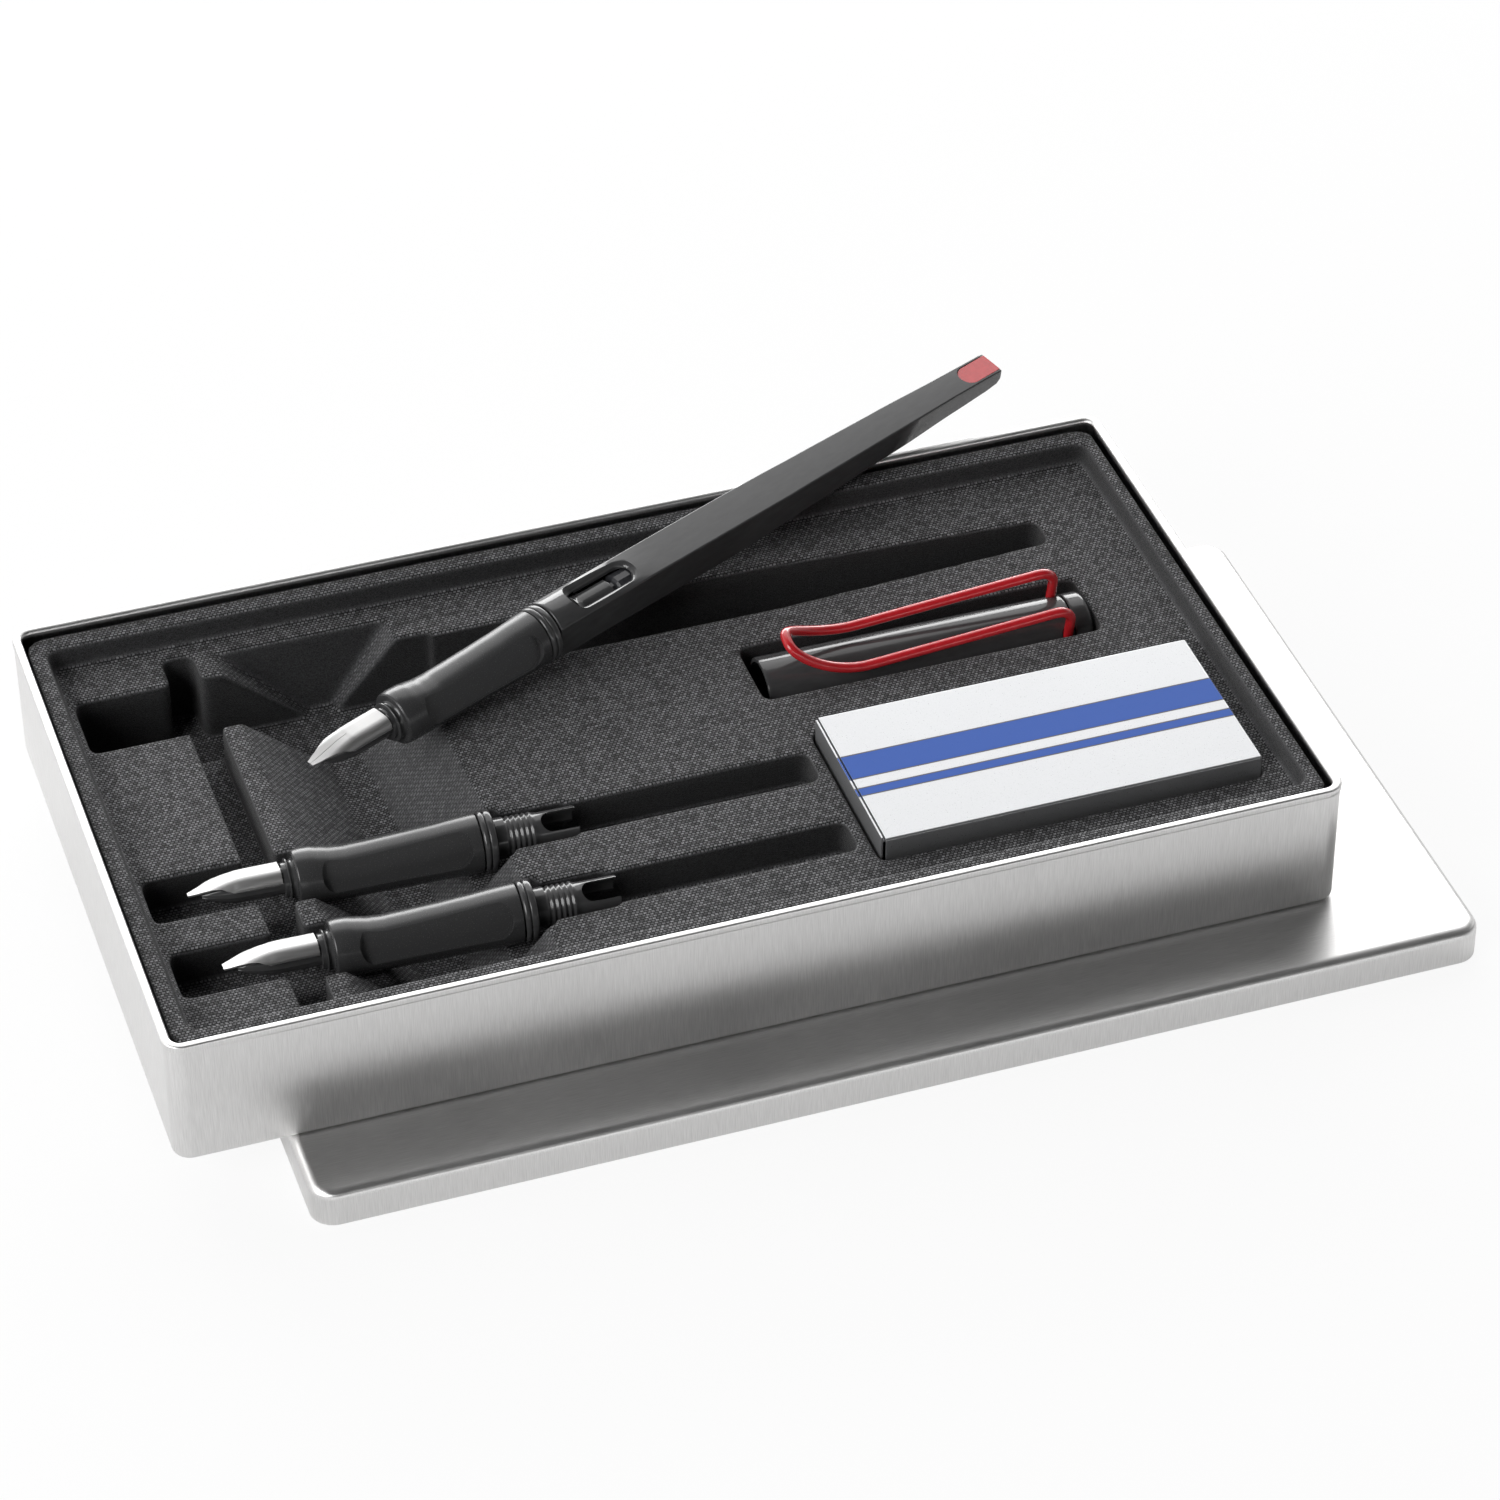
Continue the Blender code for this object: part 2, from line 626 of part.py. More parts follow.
def nib_shape(tip_width):
    """Curved steel blade: each station is an arc of its own width, with the same thickness."""
    rings = []
    for share, wide in NIB_WIDTH_SHARES:
        along = NIB_SEEN * share
        half_turn = (tip_width + (NIB_WIDTH - tip_width) * wide) / 2 / NIB_BEND_RADIUS
        centre = nib_line(along) - NIB_BEND_RADIUS
        upper = []
        lower = []
        for step in range(NIB_BEND_STEPS + 1):
            turn = half_turn * (2 * step / NIB_BEND_STEPS - 1)
            for side, reach in ((upper, NIB_BEND_RADIUS), (lower, NIB_BEND_RADIUS - NIB_THICKNESS)):
                side.append((along, reach * math.sin(turn), centre + reach * math.cos(turn)))
        rings.append(upper + lower[::-1])
    return joined_rings(rings)


def make_feed(name, parent):
    """Feed: curved on top under the nib and round below, with a round tail inside collar and core."""
    stations = [(FEED_START + (NIB_SEEN - FEED_START) * along, size) for along, size in FEED_TIP_SHARES]
    stations.append((NIB_SEEN, 1))
    stations.append((NIB_SEEN + FEED_TAIL, 1))
    under_nib = NIB_BEND_RADIUS - NIB_THICKNESS - TOUCH_GAP
    rings = []
    for along, size in stations:
        centre = nib_line(along) - NIB_BEND_RADIUS
        ring = []
        for step in range(FEED_STEPS):
            turn = math.tau * step / FEED_STEPS
            across = FEED_RADIUS * size * math.cos(turn)
            height = FEED_RADIUS * size * math.sin(turn)
            roof = centre + math.sqrt(under_nib * under_nib - across * across)
            ring.append((along, across, min(height, roof)))
        rings.append(ring)
    add(name, joined_rings(rings), BLACK_FINISH, parent)


def make_collar(name, parent):
    """Gloss front of a nib unit: a short housing, a thin lip, a concave neck and a sleeve in the grip."""
    lip_at = COLLAR_AT + TOUCH_GAP + HOUSING_LENGTH
    outline = (
        (COLLAR_AT + TOUCH_GAP, HOUSING_RADIUS),
        (lip_at, HOUSING_RADIUS),
        (lip_at, COLLAR_RADIUS),
        (lip_at + COLLAR_LIP, COLLAR_RADIUS),
        (lip_at + 2 * COLLAR_LIP, COLLAR_NECK_RADIUS),
        (GRIP_AT - COLLAR_LIP, COLLAR_NECK_RADIUS),
        (GRIP_AT, SLEEVE_RADIUS),
        (COLLAR_END, SLEEVE_RADIUS),
        (COLLAR_END, CORE_BORE),
        (COLLAR_AT + TOUCH_GAP, CORE_BORE),
    )
    add(name, turned(outline, CORE_SIDES, closed=True), BLACK_FINISH, parent)


def grip_ring(share, top, bottom, facet):
    """One station of the grip: rounder below, lower on top, and cut by two finger facets."""
    ring = []
    for index in range(ROUND_SIDES):
        turn = math.tau * index / ROUND_SIDES
        upward = max(math.cos(turn), 0)
        radius = GRIP_RADIUS * (bottom + (top - bottom) * upward)
        for side in (-1, 1):
            lean = math.cos(turn - side * GRIP_FACET_TURN)
            if lean > FACET_LEAN_SHARE:
                flat = min(GRIP_FACET_DISTANCE / lean, radius)
                radius += (flat - radius) * facet
        along = GRIP_AT + GRIP_LENGTH * share
        ring.append((along, -radius * math.sin(turn), radius * math.cos(turn)))
    return ring


def make_grip(name, parent):
    """Satin grip shell, with a wide bore for the collar's sleeve and a narrow one for the core."""
    wide = SLEEVE_RADIUS + TOUCH_GAP
    narrow = CORE_RADIUS + TOUCH_GAP
    rings = [grip_ring(*row) for row in GRIP_SHARES]
    for along, radius in ((GRIP_END, narrow), (GRIP_STEP_AT, narrow), (GRIP_STEP_AT, wide), (GRIP_AT, wide)):
        turns = [math.tau * index / ROUND_SIDES for index in range(ROUND_SIDES)]
        rings.append([(along, -radius * math.sin(turn), radius * math.cos(turn)) for turn in turns])
    add(name, joined_rings(rings, closed=True), GRIP_FINISH, parent)


def make_ring(name, parent):
    """Stop ring between grip and barrel, with a groove that makes it look like two rings."""
    outline = []
    for along, sunk in RING_SHARES:
        outline.append((RING_AT + RING_LENGTH * along, RING_RADIUS - RING_GROOVE * sunk))
    bore = CORE_RADIUS + TOUCH_GAP
    outline += [(SEAT_AT, bore), (RING_AT, bore)]
    add(name, turned(outline, closed=True), BLACK_FINISH, parent)


def make_core(name, parent):
    """Inner tube of a nib unit: it carries the grip and ends in the neck, thread and two-pronged fork."""
    root = THREAD_RADIUS - THREAD_DEPTH
    pitch = THREAD_LENGTH / THREAD_COUNT
    outline = [(CORE_AT, CORE_RADIUS), (NECK_AT, CORE_RADIUS), (NECK_AT, THREAD_RADIUS)]
    outline.append((THREAD_AT - THREAD_DEPTH, THREAD_RADIUS))
    for index in range(THREAD_COUNT):
        outline.append((THREAD_AT + pitch * index, root))
        outline.append((THREAD_AT + pitch * (index + 1 / 2), THREAD_RADIUS))
    outline += [(FORK_AT, root), (FORK_AT + FORK_TAPER, CORE_RADIUS), (SECTION_END, CORE_RADIUS)]
    outline += [(SECTION_END, CORE_BORE), (CORE_AT, CORE_BORE)]
    core = add(name, turned(outline, CORE_SIDES, closed=True), BLACK_FINISH, parent)
    start = SECTION_END - FORK_SLOT_DEPTH
    half = FORK_SLOT_WIDTH / 2
    past = SECTION_END + CUT_OVERRUN
    outline = ((start, -half), (past, -half), (past, half), (start, half))
    slot = upright(rounded_corners(outline, half), -CUT_OVERRUN, CUT_OVERRUN)
    cut(core, name + "_slot_cutter", slot, parent)


def make_section(name, parent, tip_width):
    """All the pieces of one nib unit."""
    add(name + "_nib", nib_shape(tip_width), STEEL_FINISH, parent)
    make_feed(name + "_feed", parent)
    make_collar(name + "_collar", parent)
    make_grip(name + "_grip", parent)
    make_ring(name + "_ring", parent)
    make_core(name + "_core", parent)


def cartridge_shape():
    """Ink cartridge along X from its mouth, with a narrow front stretch and rounded shoulders."""
    body_at = CARTRIDGE_NECK_LENGTH
    outline = (
        (0, CARTRIDGE_NECK_RADIUS - CARTRIDGE_ROUNDING / 2),
        (CARTRIDGE_ROUNDING / 2, CARTRIDGE_NECK_RADIUS),
        (body_at, CARTRIDGE_NECK_RADIUS),
        (body_at + CARTRIDGE_ROUNDING, CARTRIDGE_RADIUS),
        (CARTRIDGE_LENGTH - CARTRIDGE_ROUNDING, CARTRIDGE_RADIUS),
        (CARTRIDGE_LENGTH, CARTRIDGE_RADIUS - CARTRIDGE_ROUNDING),
    )
    return turned(outline, SMALL_SIDES)


def barrel_ring(share, wide, side_top, crown, side_bottom, keel):
    """One station of the barrel as (side, height) points: flat sides, a crowned top and a keel."""
    half = BARREL_RADIUS * wide
    ring = []
    for rise, edge, side in ((crown, side_top, 1), (keel, side_bottom, -1)):
        for step in range(BARREL_CROWN_STEPS + 1):
            across = side * (1 - 2 * step / BARREL_CROWN_STEPS)
            height = BARREL_RADIUS * (edge + (rise - edge) * (1 - across * across))
            ring.append((half * across, side * height))
    return ring


def barrel_section(share):
    """The barrel's section at any share of its length, read between its stations."""
    rows = BARREL_STATION_SHARES
    for before, after in zip(rows, rows[1:]):
        if before[0] <= share <= after[0]:
            mix = (share - before[0]) / (after[0] - before[0])
            return barrel_ring(*[a + (b - a) * mix for a, b in zip(before, after)])
    return barrel_ring(*rows[-1])


def barrel_drop(share):
    """How far the rolled barrel reaches below its axis at a share of its length."""
    ring = barrel_section(share)
    return -min(y * math.sin(-BARREL_ROLL) + z * math.cos(BARREL_ROLL) for y, z in ring)


def pen_pose():
    """Seat point and tilt of the leaning pen, found by letting grip, ring and barrel settle in turn."""
    rim_y = BOX_WIDTH - HEM_WIDTH + HEM_PROUD
    run = (rim_y - PEN_SEAT_Y) / math.sin(PEN_AZIMUTH)
    grip_arm = (PEN_SEAT_X - SCOOP_RIGHT_BACK) / math.cos(PEN_AZIMUTH)
    tilt = 0
    for _ in range(LEAN_ROUNDS):
        ring_lift = RING_RADIUS / math.cos(tilt)
        grip_lift = GRIP_RADIUS / math.cos(tilt) + grip_arm * math.tan(tilt)
        seat_z = PLATEAU_TOP + TOUCH_GAP + max(ring_lift, grip_lift)
        share = run / math.cos(tilt) / BARREL_LENGTH
        rim_z = BOX_HEIGHT + TOUCH_GAP + barrel_drop(share) / math.cos(tilt)
        tilt = math.atan2(rim_z - seat_z, run)
    return Vector((PEN_SEAT_X, PEN_SEAT_Y, seat_z)), tilt


def make_barrel(parent):
    """Barrel with its bore, the ink window and the recess of the end plug."""
    rings = []
    for row in BARREL_STATION_SHARES:
        along = BARREL_AT + BARREL_LENGTH * row[0]
        rings.append([(along, y, z) for y, z in barrel_ring(*row)])
    barrel = add("pen_barrel", joined_rings(rings), BLACK_FINISH, parent)

    bore_end = BARREL_AT + BARREL_BORE_DEPTH
    cell_end = CARTRIDGE_START + CARTRIDGE_LENGTH + TOUCH_GAP
    outline = (
        (BARREL_AT - CUT_OVERRUN, BARREL_BORE),
        (bore_end, BARREL_BORE),
        (bore_end, BARREL_CELL_RADIUS),
        (cell_end, BARREL_CELL_RADIUS),
        (cell_end + BARREL_CELL_END, BARREL_CELL_RADIUS / 2),
    )
    cut(barrel, "barrel_bore_cutter", turned(outline), parent)

    start = BARREL_AT + WINDOW_START
    half = WINDOW_WIDTH / 2
    outline = ((start, -half), (start + WINDOW_LENGTH, -half), (start + WINDOW_LENGTH, half), (start, half))
    window = upright(rounded_corners(outline, half), 0, BARREL_RADIUS + CUT_OVERRUN)
    cut(barrel, "ink_window_cutter", window, parent)

    end = BARREL_AT + BARREL_LENGTH
    top = BARREL_RADIUS * BARREL_STATION_SHARES[-1][3]
    inner = end - PLUG_LENGTH - TOUCH_GAP
    outline = plug_outline(inner, end + CUT_OVERRUN, PLUG_HALF_WIDTH + TOUCH_GAP)
    recess = upright(outline, top - PLUG_THICKNESS - TOUCH_GAP, top + CUT_OVERRUN)
    cut(barrel, "end_plug_recess_cutter", recess, parent)


def plug_outline(inner, outer, half):
    """Flat outline with a round end towards the nib, as seen from above the barrel."""
    centre = inner + half * PLUG_ROUND_SHARE
    outline = [(outer, -half), (outer, half)]
    steps = 2 * CORNER_STEPS
    for step in range(steps + 1):
        turn = math.tau / 4 + math.tau / 2 * step / steps
        outline.append((centre + half * PLUG_ROUND_SHARE * math.cos(turn), half * math.sin(turn)))
    return outline


def make_end_plug(parent):
    """Coloured inlay that fills the recess in the top face at the barrel's tail."""
    end = BARREL_AT + BARREL_LENGTH
    top = BARREL_RADIUS * BARREL_STATION_SHARES[-1][3]
    outline = plug_outline(end - PLUG_LENGTH, end - TOUCH_GAP, PLUG_HALF_WIDTH)
    add("pen_end_plug", upright(outline, top - PLUG_THICKNESS, top), RED_FINISH, parent)


def make_pen(parent):
    """The pen, leaning out of the box, with its own nib unit screwed on and a cartridge inside."""
    seat, tilt = pen_pose()
    rotation = Euler((0, -tilt, PEN_AZIMUTH))
    tip = seat - rotation.to_matrix() @ Vector((SEAT_AT, 0, 0))
    axis = empty("pen_axis", parent, tip, rotation)
    make_section("pen", axis, PEN_NIB_TIP_WIDTH)
    add("pen_cartridge", cartridge_shape(), CARTRIDGE_FINISH, axis, (CARTRIDGE_START, 0, 0))
    rolled = empty("pen_barrel_axis", axis, rotation=(BARREL_ROLL, 0, 0))
    make_barrel(rolled)
    make_end_plug(rolled)


def pen_back_reach():
    """How far back the leaning pen's tail reaches, measured on its last stations."""
    seat, tilt = pen_pose()
    rotation = Euler((0, -tilt, PEN_AZIMUTH)).to_matrix() @ Euler((BARREL_ROLL, 0, 0)).to_matrix()
    reach = 0
    for row in BARREL_STATION_SHARES[-2:]:
        along = TOUCH_GAP + BARREL_LENGTH * row[0]
        for y, z in barrel_ring(*row):
            reach = max(reach, (seat + rotation @ Vector((along, y, z))).y)
    return reach


def make_spare_sections(parent):
    """Two spare nib units lying in their pockets, turned a little so that the nibs point back."""
    spares = (
        ("section_a", SECTION_A_SEAT, SECTION_A_TIP_WIDTH),
        ("section_b", SECTION_B_SEAT, SECTION_B_TIP_WIDTH),
    )
    for name, (x, y), tip_width in spares:
        rotation = Euler((SECTION_ROLL, 0, SECTION_YAW))
        seat = Vector((x, y, SECTION_AXIS_HEIGHT))
        tip = seat - rotation.to_matrix() @ Vector((SEAT_AT, 0, 0))
        axis = empty(name + "_axis", parent, tip, rotation)
        make_section(name, axis, tip_width)


def clip_path():
    """Path of the clip wire in the cap's frame: up out of one hole, round the loop and back."""
    waist = Vector((CLIP_WAIST_AT, CLIP_LEG_OFFSET, CLIP_WAIST_HEIGHT))
    points = [Vector((CLIP_HOLE_AT, CLIP_LEG_OFFSET, CLIP_HOLE_FLOOR + CLIP_HOLE_CLEARANCE))]
    bend_height = CLIP_BEND_HEIGHT - CLIP_BEND_RADIUS
    for step in range(CLIP_BEND_STEPS + 1):
        turn = math.tau / 4 * step / CLIP_BEND_STEPS
        along = CLIP_HOLE_AT - CLIP_BEND_RADIUS * (1 - math.cos(turn))
        points.append(Vector((along, CLIP_LEG_OFFSET, bend_height + CLIP_BEND_RADIUS * math.sin(turn))))
    leg_start = points[-1].copy()
    for share in CLIP_LEG_SHARES:
        points.append(leg_start.lerp(waist, share))
    for step in range(CLIP_LOOP_STEPS + 1):
        turn = math.tau / 4 * step / CLIP_LOOP_STEPS
        along = CLIP_WAIST_AT + (CLIP_TIP_AT - CLIP_WAIST_AT) * math.sin(turn)
        height = CLIP_WAIST_HEIGHT + (CLIP_TIP_HEIGHT - CLIP_WAIST_HEIGHT) * math.sin(turn) ** 2
        points.append(Vector((along, CLIP_LEG_OFFSET * math.cos(turn), height)))
    mirrored = [Vector((point.x, -point.y, point.z)) for point in reversed(points[:-1])]
    return points + mirrored


def make_cap(parent):
    """Cap lying in its pocket, with its liner, finial and wire clip."""
    height = CAP_FLOOR + TOUCH_GAP + CAP_RADIUS
    axis = empty("cap_axis", parent, (CAP_MOUTH_X, CAP_AXIS_Y, height), (CAP_ROLL, 0, 0))
    bore_end = CAP_BODY_LENGTH - CAP_END_WALL
    outline = (
        (0, CAP_RADIUS - CAP_LIP),
        (CAP_LIP, CAP_RADIUS),
        (CAP_BODY_LENGTH / 2, CAP_RADIUS),
        (CAP_BODY_LENGTH - CAP_LIP, CAP_END_RADIUS),
        (CAP_BODY_LENGTH, CAP_END_RADIUS - CAP_LIP),
        (CAP_BODY_LENGTH, SPIGOT_RADIUS + TOUCH_GAP),
        (bore_end, SPIGOT_RADIUS + TOUCH_GAP),
        (bore_end, CAP_BORE_RADIUS),
        (0, CAP_BORE_RADIUS),
    )
    body = add("cap_body", turned(outline, closed=True), BLACK_FINISH, axis)
    for name, side in (("left", 1), ("right", -1)):
        hole_radius = WIRE_RADIUS + CLIP_HOLE_CLEARANCE
        hole = ((CLIP_HOLE_FLOOR, hole_radius), (CLIP_BEND_HEIGHT, hole_radius))
        place = (CLIP_HOLE_AT, side * CLIP_LEG_OFFSET, 0)
        cut(body, "clip_hole_cutter_" + name, turned(hole, SMALL_SIDES), axis, place, (0, -math.tau / 4, 0))

    finial_at = CAP_BODY_LENGTH + TOUCH_GAP
    finial_end = finial_at + FINIAL_LENGTH
    outline = (
        (bore_end - SPIGOT_LENGTH + CAP_END_WALL, SPIGOT_RADIUS),
        (finial_at, SPIGOT_RADIUS),
        (finial_at, CAP_END_RADIUS - CAP_LIP),
        (finial_at + CAP_LIP, CAP_END_RADIUS),
        (finial_end - FINIAL_ROUNDING, CAP_END_RADIUS),
        (finial_end - FINIAL_ROUNDING / 3, CAP_END_RADIUS - FINIAL_ROUNDING / 3),
        (finial_end, CAP_END_RADIUS - FINIAL_ROUNDING),
    )
    add("cap_finial", turned(outline), BLACK_FINISH, axis)

    outer = CAP_BORE_RADIUS - TOUCH_GAP
    liner_end = bore_end - TOUCH_GAP
    outline = (
        (liner_end - LINER_LENGTH, outer),
        (liner_end, outer),
        (liner_end, outer / 2),
        (liner_end - LINER_END, outer / 2),
        (liner_end - LINER_END, outer - LINER_WALL),
        (liner_end - LINER_LENGTH, outer - LINER_WALL),
    )
    add("cap_liner", turned(outline, closed=True), LINER_FINISH, axis)
    add("cap_clip", wire(clip_path(), WIRE_RADIUS), RED_FINISH, axis)


def make_carton(parent):
    """Card sleeve closed at its right end, its tucked flap, and the row of cartridges inside."""
    bottom = CARTON_FLOOR + TOUCH_GAP
    corner = empty("carton_corner", parent, (CARTON_LEFT, CARTON_FRONT, bottom))
    sleeve_left = CARD + TOUCH_GAP
    shape = block((sleeve_left, 0, 0), (CARTON_LENGTH, CARTON_WIDTH, CARTON_THICKNESS))
    sleeve = add("carton_sleeve", shape, CARD_FINISH, corner)
    low = (sleeve_left - CUT_OVERRUN, CARD, CARD)
    high = (CARTON_LENGTH - CARD, CARTON_WIDTH - CARD, CARTON_THICKNESS - CARD)
    cut(sleeve, "carton_hollow_cutter", block(low, high), corner)

    tuck_top = CARTON_THICKNESS - CARD - TOUCH_GAP
    outline = (
        (0, 0),
        (CARD, 0),
        (CARD, tuck_top - CARD),
        (CARD + FLAP_TUCK, tuck_top - CARD),
        (CARD + FLAP_TUCK, tuck_top),
        (CARD, tuck_top),
        (CARD, CARTON_THICKNESS),
        (0, CARTON_THICKNESS),
    )
    side = CARD + TOUCH_GAP
    rings = [[(x, y, z) for x, z in outline] for y in (side, CARTON_WIDTH - side)]
    add("carton_flap", joined_rings(rings), CARD_FINISH, corner)

    pitch = (CARTON_WIDTH - 2 * CARD) / CARTON_CARTRIDGES
    start = CARTON_LENGTH - CARD - TOUCH_GAP - CARTRIDGE_LENGTH
    height = CARD + TOUCH_GAP + CARTRIDGE_RADIUS
    for index in range(CARTON_CARTRIDGES):
        place = (start, CARD + pitch * (index + 1 / 2), height)
        add(f"carton_cartridge_{index + 1}", cartridge_shape(), CARTRIDGE_FINISH, corner, place)


def make_set():
    """Place the whole set so that the middle of its footprint stands on the origin."""
    left = min(-HEM_PROUD, LID_LEFT)
    right = max(BOX_LENGTH + HEM_PROUD, LID_LEFT + BOX_LENGTH + 2 * LID_MARGIN)
    front = min(-HEM_PROUD, LID_FRONT)
    back = max(BOX_WIDTH + HEM_PROUD, LID_FRONT + BOX_WIDTH + 2 * LID_MARGIN, pen_back_reach())
    foot = TOUCH_GAP + LID_SKIRT_HEIGHT
    origin = empty("set_origin", None, (-(left + right) / 2, -(front + back) / 2, foot))
    make_lid(origin)
    make_box(origin)
    make_insert(origin)
    make_pen(origin)
    make_spare_sections(origin)
    make_cap(origin)
    make_carton(origin)


clear_scene()
TIN_FINISH = finish("brushed_tin", (0.62, 0.61, 0.60), 0.34, 1.0)
FLOCK_FINISH = finish("charcoal_flock", (0.045, 0.045, 0.05), 0.95)
BLACK_FINISH = finish("gloss_black_plastic", (0.012, 0.012, 0.013), 0.16)
GRIP_FINISH = finish("satin_black_plastic", (0.028, 0.028, 0.03), 0.42)
STEEL_FINISH = finish("polished_steel", (0.74, 0.73, 0.71), 0.18, 1.0)
RED_FINISH = finish("red_lacquer", (0.42, 0.014, 0.018), 0.28)
LINER_FINISH = finish("grey_plastic", (0.22, 0.22, 0.23), 0.5)
CARTRIDGE_FINISH = finish("ink_blue_plastic", (0.03, 0.07, 0.32), 0.25)
CARD_FINISH = finish("silver_card", (0.72, 0.73, 0.74), 0.4)
CUTTER_FINISH = finish("cutter", (0.8, 0.3, 0.1), 0.8)
make_set()
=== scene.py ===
# %% [markdown]
# # A calligraphy set in a flat tin box
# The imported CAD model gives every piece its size, place and body. This lesson dresses it:
# each visible piece is modelled again with rounder edges and finer detail, and gets a finish
# that has the grain, weave or gloss of the real one.

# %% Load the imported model
import math

import bmesh
import bpy
from mathutils import Euler, Matrix, Vector


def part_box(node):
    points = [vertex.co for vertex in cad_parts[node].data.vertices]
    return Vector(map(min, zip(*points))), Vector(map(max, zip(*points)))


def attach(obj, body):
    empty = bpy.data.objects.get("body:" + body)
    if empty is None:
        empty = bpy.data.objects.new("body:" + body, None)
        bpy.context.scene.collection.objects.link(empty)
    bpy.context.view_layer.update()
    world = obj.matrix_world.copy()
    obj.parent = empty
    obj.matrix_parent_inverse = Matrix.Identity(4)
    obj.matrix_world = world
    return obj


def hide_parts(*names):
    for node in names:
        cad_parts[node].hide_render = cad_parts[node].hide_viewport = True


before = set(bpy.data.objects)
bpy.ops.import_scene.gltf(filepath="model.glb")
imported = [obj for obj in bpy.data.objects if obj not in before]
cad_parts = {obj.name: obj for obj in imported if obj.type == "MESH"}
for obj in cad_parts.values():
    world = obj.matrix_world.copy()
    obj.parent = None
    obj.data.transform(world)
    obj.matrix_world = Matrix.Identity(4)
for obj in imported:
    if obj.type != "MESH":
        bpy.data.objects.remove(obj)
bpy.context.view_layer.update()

MM = 0.001

# %% [markdown]
# ## The camera
# The camera stands where the photographer's did: far away with a long lens, in front of the
# box's left half, looking down by about 39 degrees. Its place and direction were solved from
# the box's edges, so they are written as one point and one line of sight.

# %% Camera
FOCAL_LENGTH, FILM_WIDTH, FARTHEST = 124.9, 36, 20
CAMERA_PLACE = Vector((-0.22380, -0.69074, 0.60276))
CAMERA_LOOK = Vector((0.2454, 0.7404, -0.6258)).normalized()
CAMERA_RIGHT = Vector((0.9479, -0.3187, -0.0054)).normalized()

camera_data = bpy.data.cameras.new("photo_camera")
camera_data.lens = FOCAL_LENGTH
camera_data.sensor_width = FILM_WIDTH
camera_data.clip_end = FARTHEST
camera = bpy.data.objects.new("photo_camera", camera_data)
bpy.context.scene.collection.objects.link(camera)
camera_up = CAMERA_RIGHT.cross(CAMERA_LOOK).normalized()
axes = Matrix((CAMERA_RIGHT, camera_up, -CAMERA_LOOK)).transposed().to_4x4()
camera.matrix_world = Matrix.Translation(CAMERA_PLACE) @ axes
bpy.context.scene.camera = camera

# %% [markdown]
# ## Small tools for working by hand
# Every operator works on what is selected. These helpers leave one piece alone on the bench,
# open it, pick what passes a test, and close it again with its faces outwards.

# %% Bench tools
def clear_bench():
    """Leave edit mode and deselect everything, as before a new primitive is added."""
    if bpy.context.mode != "OBJECT":
        bpy.ops.object.mode_set(mode="OBJECT")
    bpy.ops.object.select_all(action="DESELECT")


def alone(piece):
    """Make one piece the only one selected."""
    clear_bench()
    piece.select_set(True)
    bpy.context.view_layer.objects.active = piece


def pick_all():
    """Select the whole open mesh."""
    bpy.ops.mesh.select_all(action="SELECT")


def fresh(name):
    """Name the primitive that was just added, bake its size into its mesh and open it for editing."""
    piece = bpy.context.active_object
    piece.name = name
    piece.data.name = name
    alone(piece)
    bpy.ops.object.transform_apply(location=True, rotation=True, scale=True)
    bpy.ops.object.mode_set(mode="EDIT")
    bpy.ops.mesh.select_mode(type="VERT")
    pick_all()
    return piece


def pick(kind, test):
    """Select only the verts, edges or faces of the open mesh that pass a test."""
    bpy.ops.mesh.select_mode(type=kind)
    bpy.ops.mesh.select_all(action="DESELECT")
    mesh = bpy.context.edit_object.data
    shape = bmesh.from_edit_mesh(mesh)
    items = {"VERT": shape.verts, "EDGE": shape.edges, "FACE": shape.faces}[kind]
    for item in items:
        if test(item):
            item.select_set(True)
    shape.select_flush_mode()
    bmesh.update_edit_mesh(mesh)


def close_up():
    """Merge doubled points, turn all faces outwards and leave edit mode."""
    pick_all()
    bpy.ops.mesh.remove_doubles(threshold=0.002 * MM)
    bpy.ops.mesh.normals_make_consistent(inside=False)
    bpy.ops.object.mode_set(mode="OBJECT")

# %% [markdown]
# A modifier is applied as soon as it has its settings, so the mesh always holds the shape
# that the next cut meets. A cutter is thrown away after its cut.

# %% Modifier tools
def modified(piece, kind, **settings):
    """Add one modifier with its settings and apply it at once."""
    alone(piece)
    modifier = piece.modifiers.new(kind.lower(), kind)
    for name, value in settings.items():
        setattr(modifier, name, value)
    bpy.ops.object.modifier_apply(modifier=modifier.name)


def discarded(*pieces):
    """Throw cutters or masters away."""
    for piece in pieces:
        bpy.data.objects.remove(piece, do_unlink=True)


def carved(piece, cutter):
    """Cut one shape out of a piece and throw the cutter away."""
    modified(piece, "BOOLEAN", operation="DIFFERENCE", solver="EXACT", object=cutter)
    discarded(cutter)


def smoothed(piece, degrees=32):
    """Shade smooth but for sharp edges, with flat faces kept flat beside their rounded edges."""
    alone(piece)
    bpy.ops.object.shade_smooth_by_angle(angle=math.radians(degrees))
    modified(piece, "WEIGHTED_NORMAL", keep_sharp=True, weight=80)

# %% [markdown]
# A finished piece rides on its body and stands for its CAD nodes. A copy of a master keeps
# its own measurements in an attribute, so that a grain can follow it wherever it lies.

# %% Placing tools
def finished(piece, material, body, slot, *nodes):
    """Give a piece its finish, let it ride on its body and let it stand for its CAD nodes."""
    piece.data.materials.clear()
    piece.data.materials.append(material)
    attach(piece, body)
    if nodes:
        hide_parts(*nodes)
    print(piece.name, len(piece.data.polygons), "faces on", body)


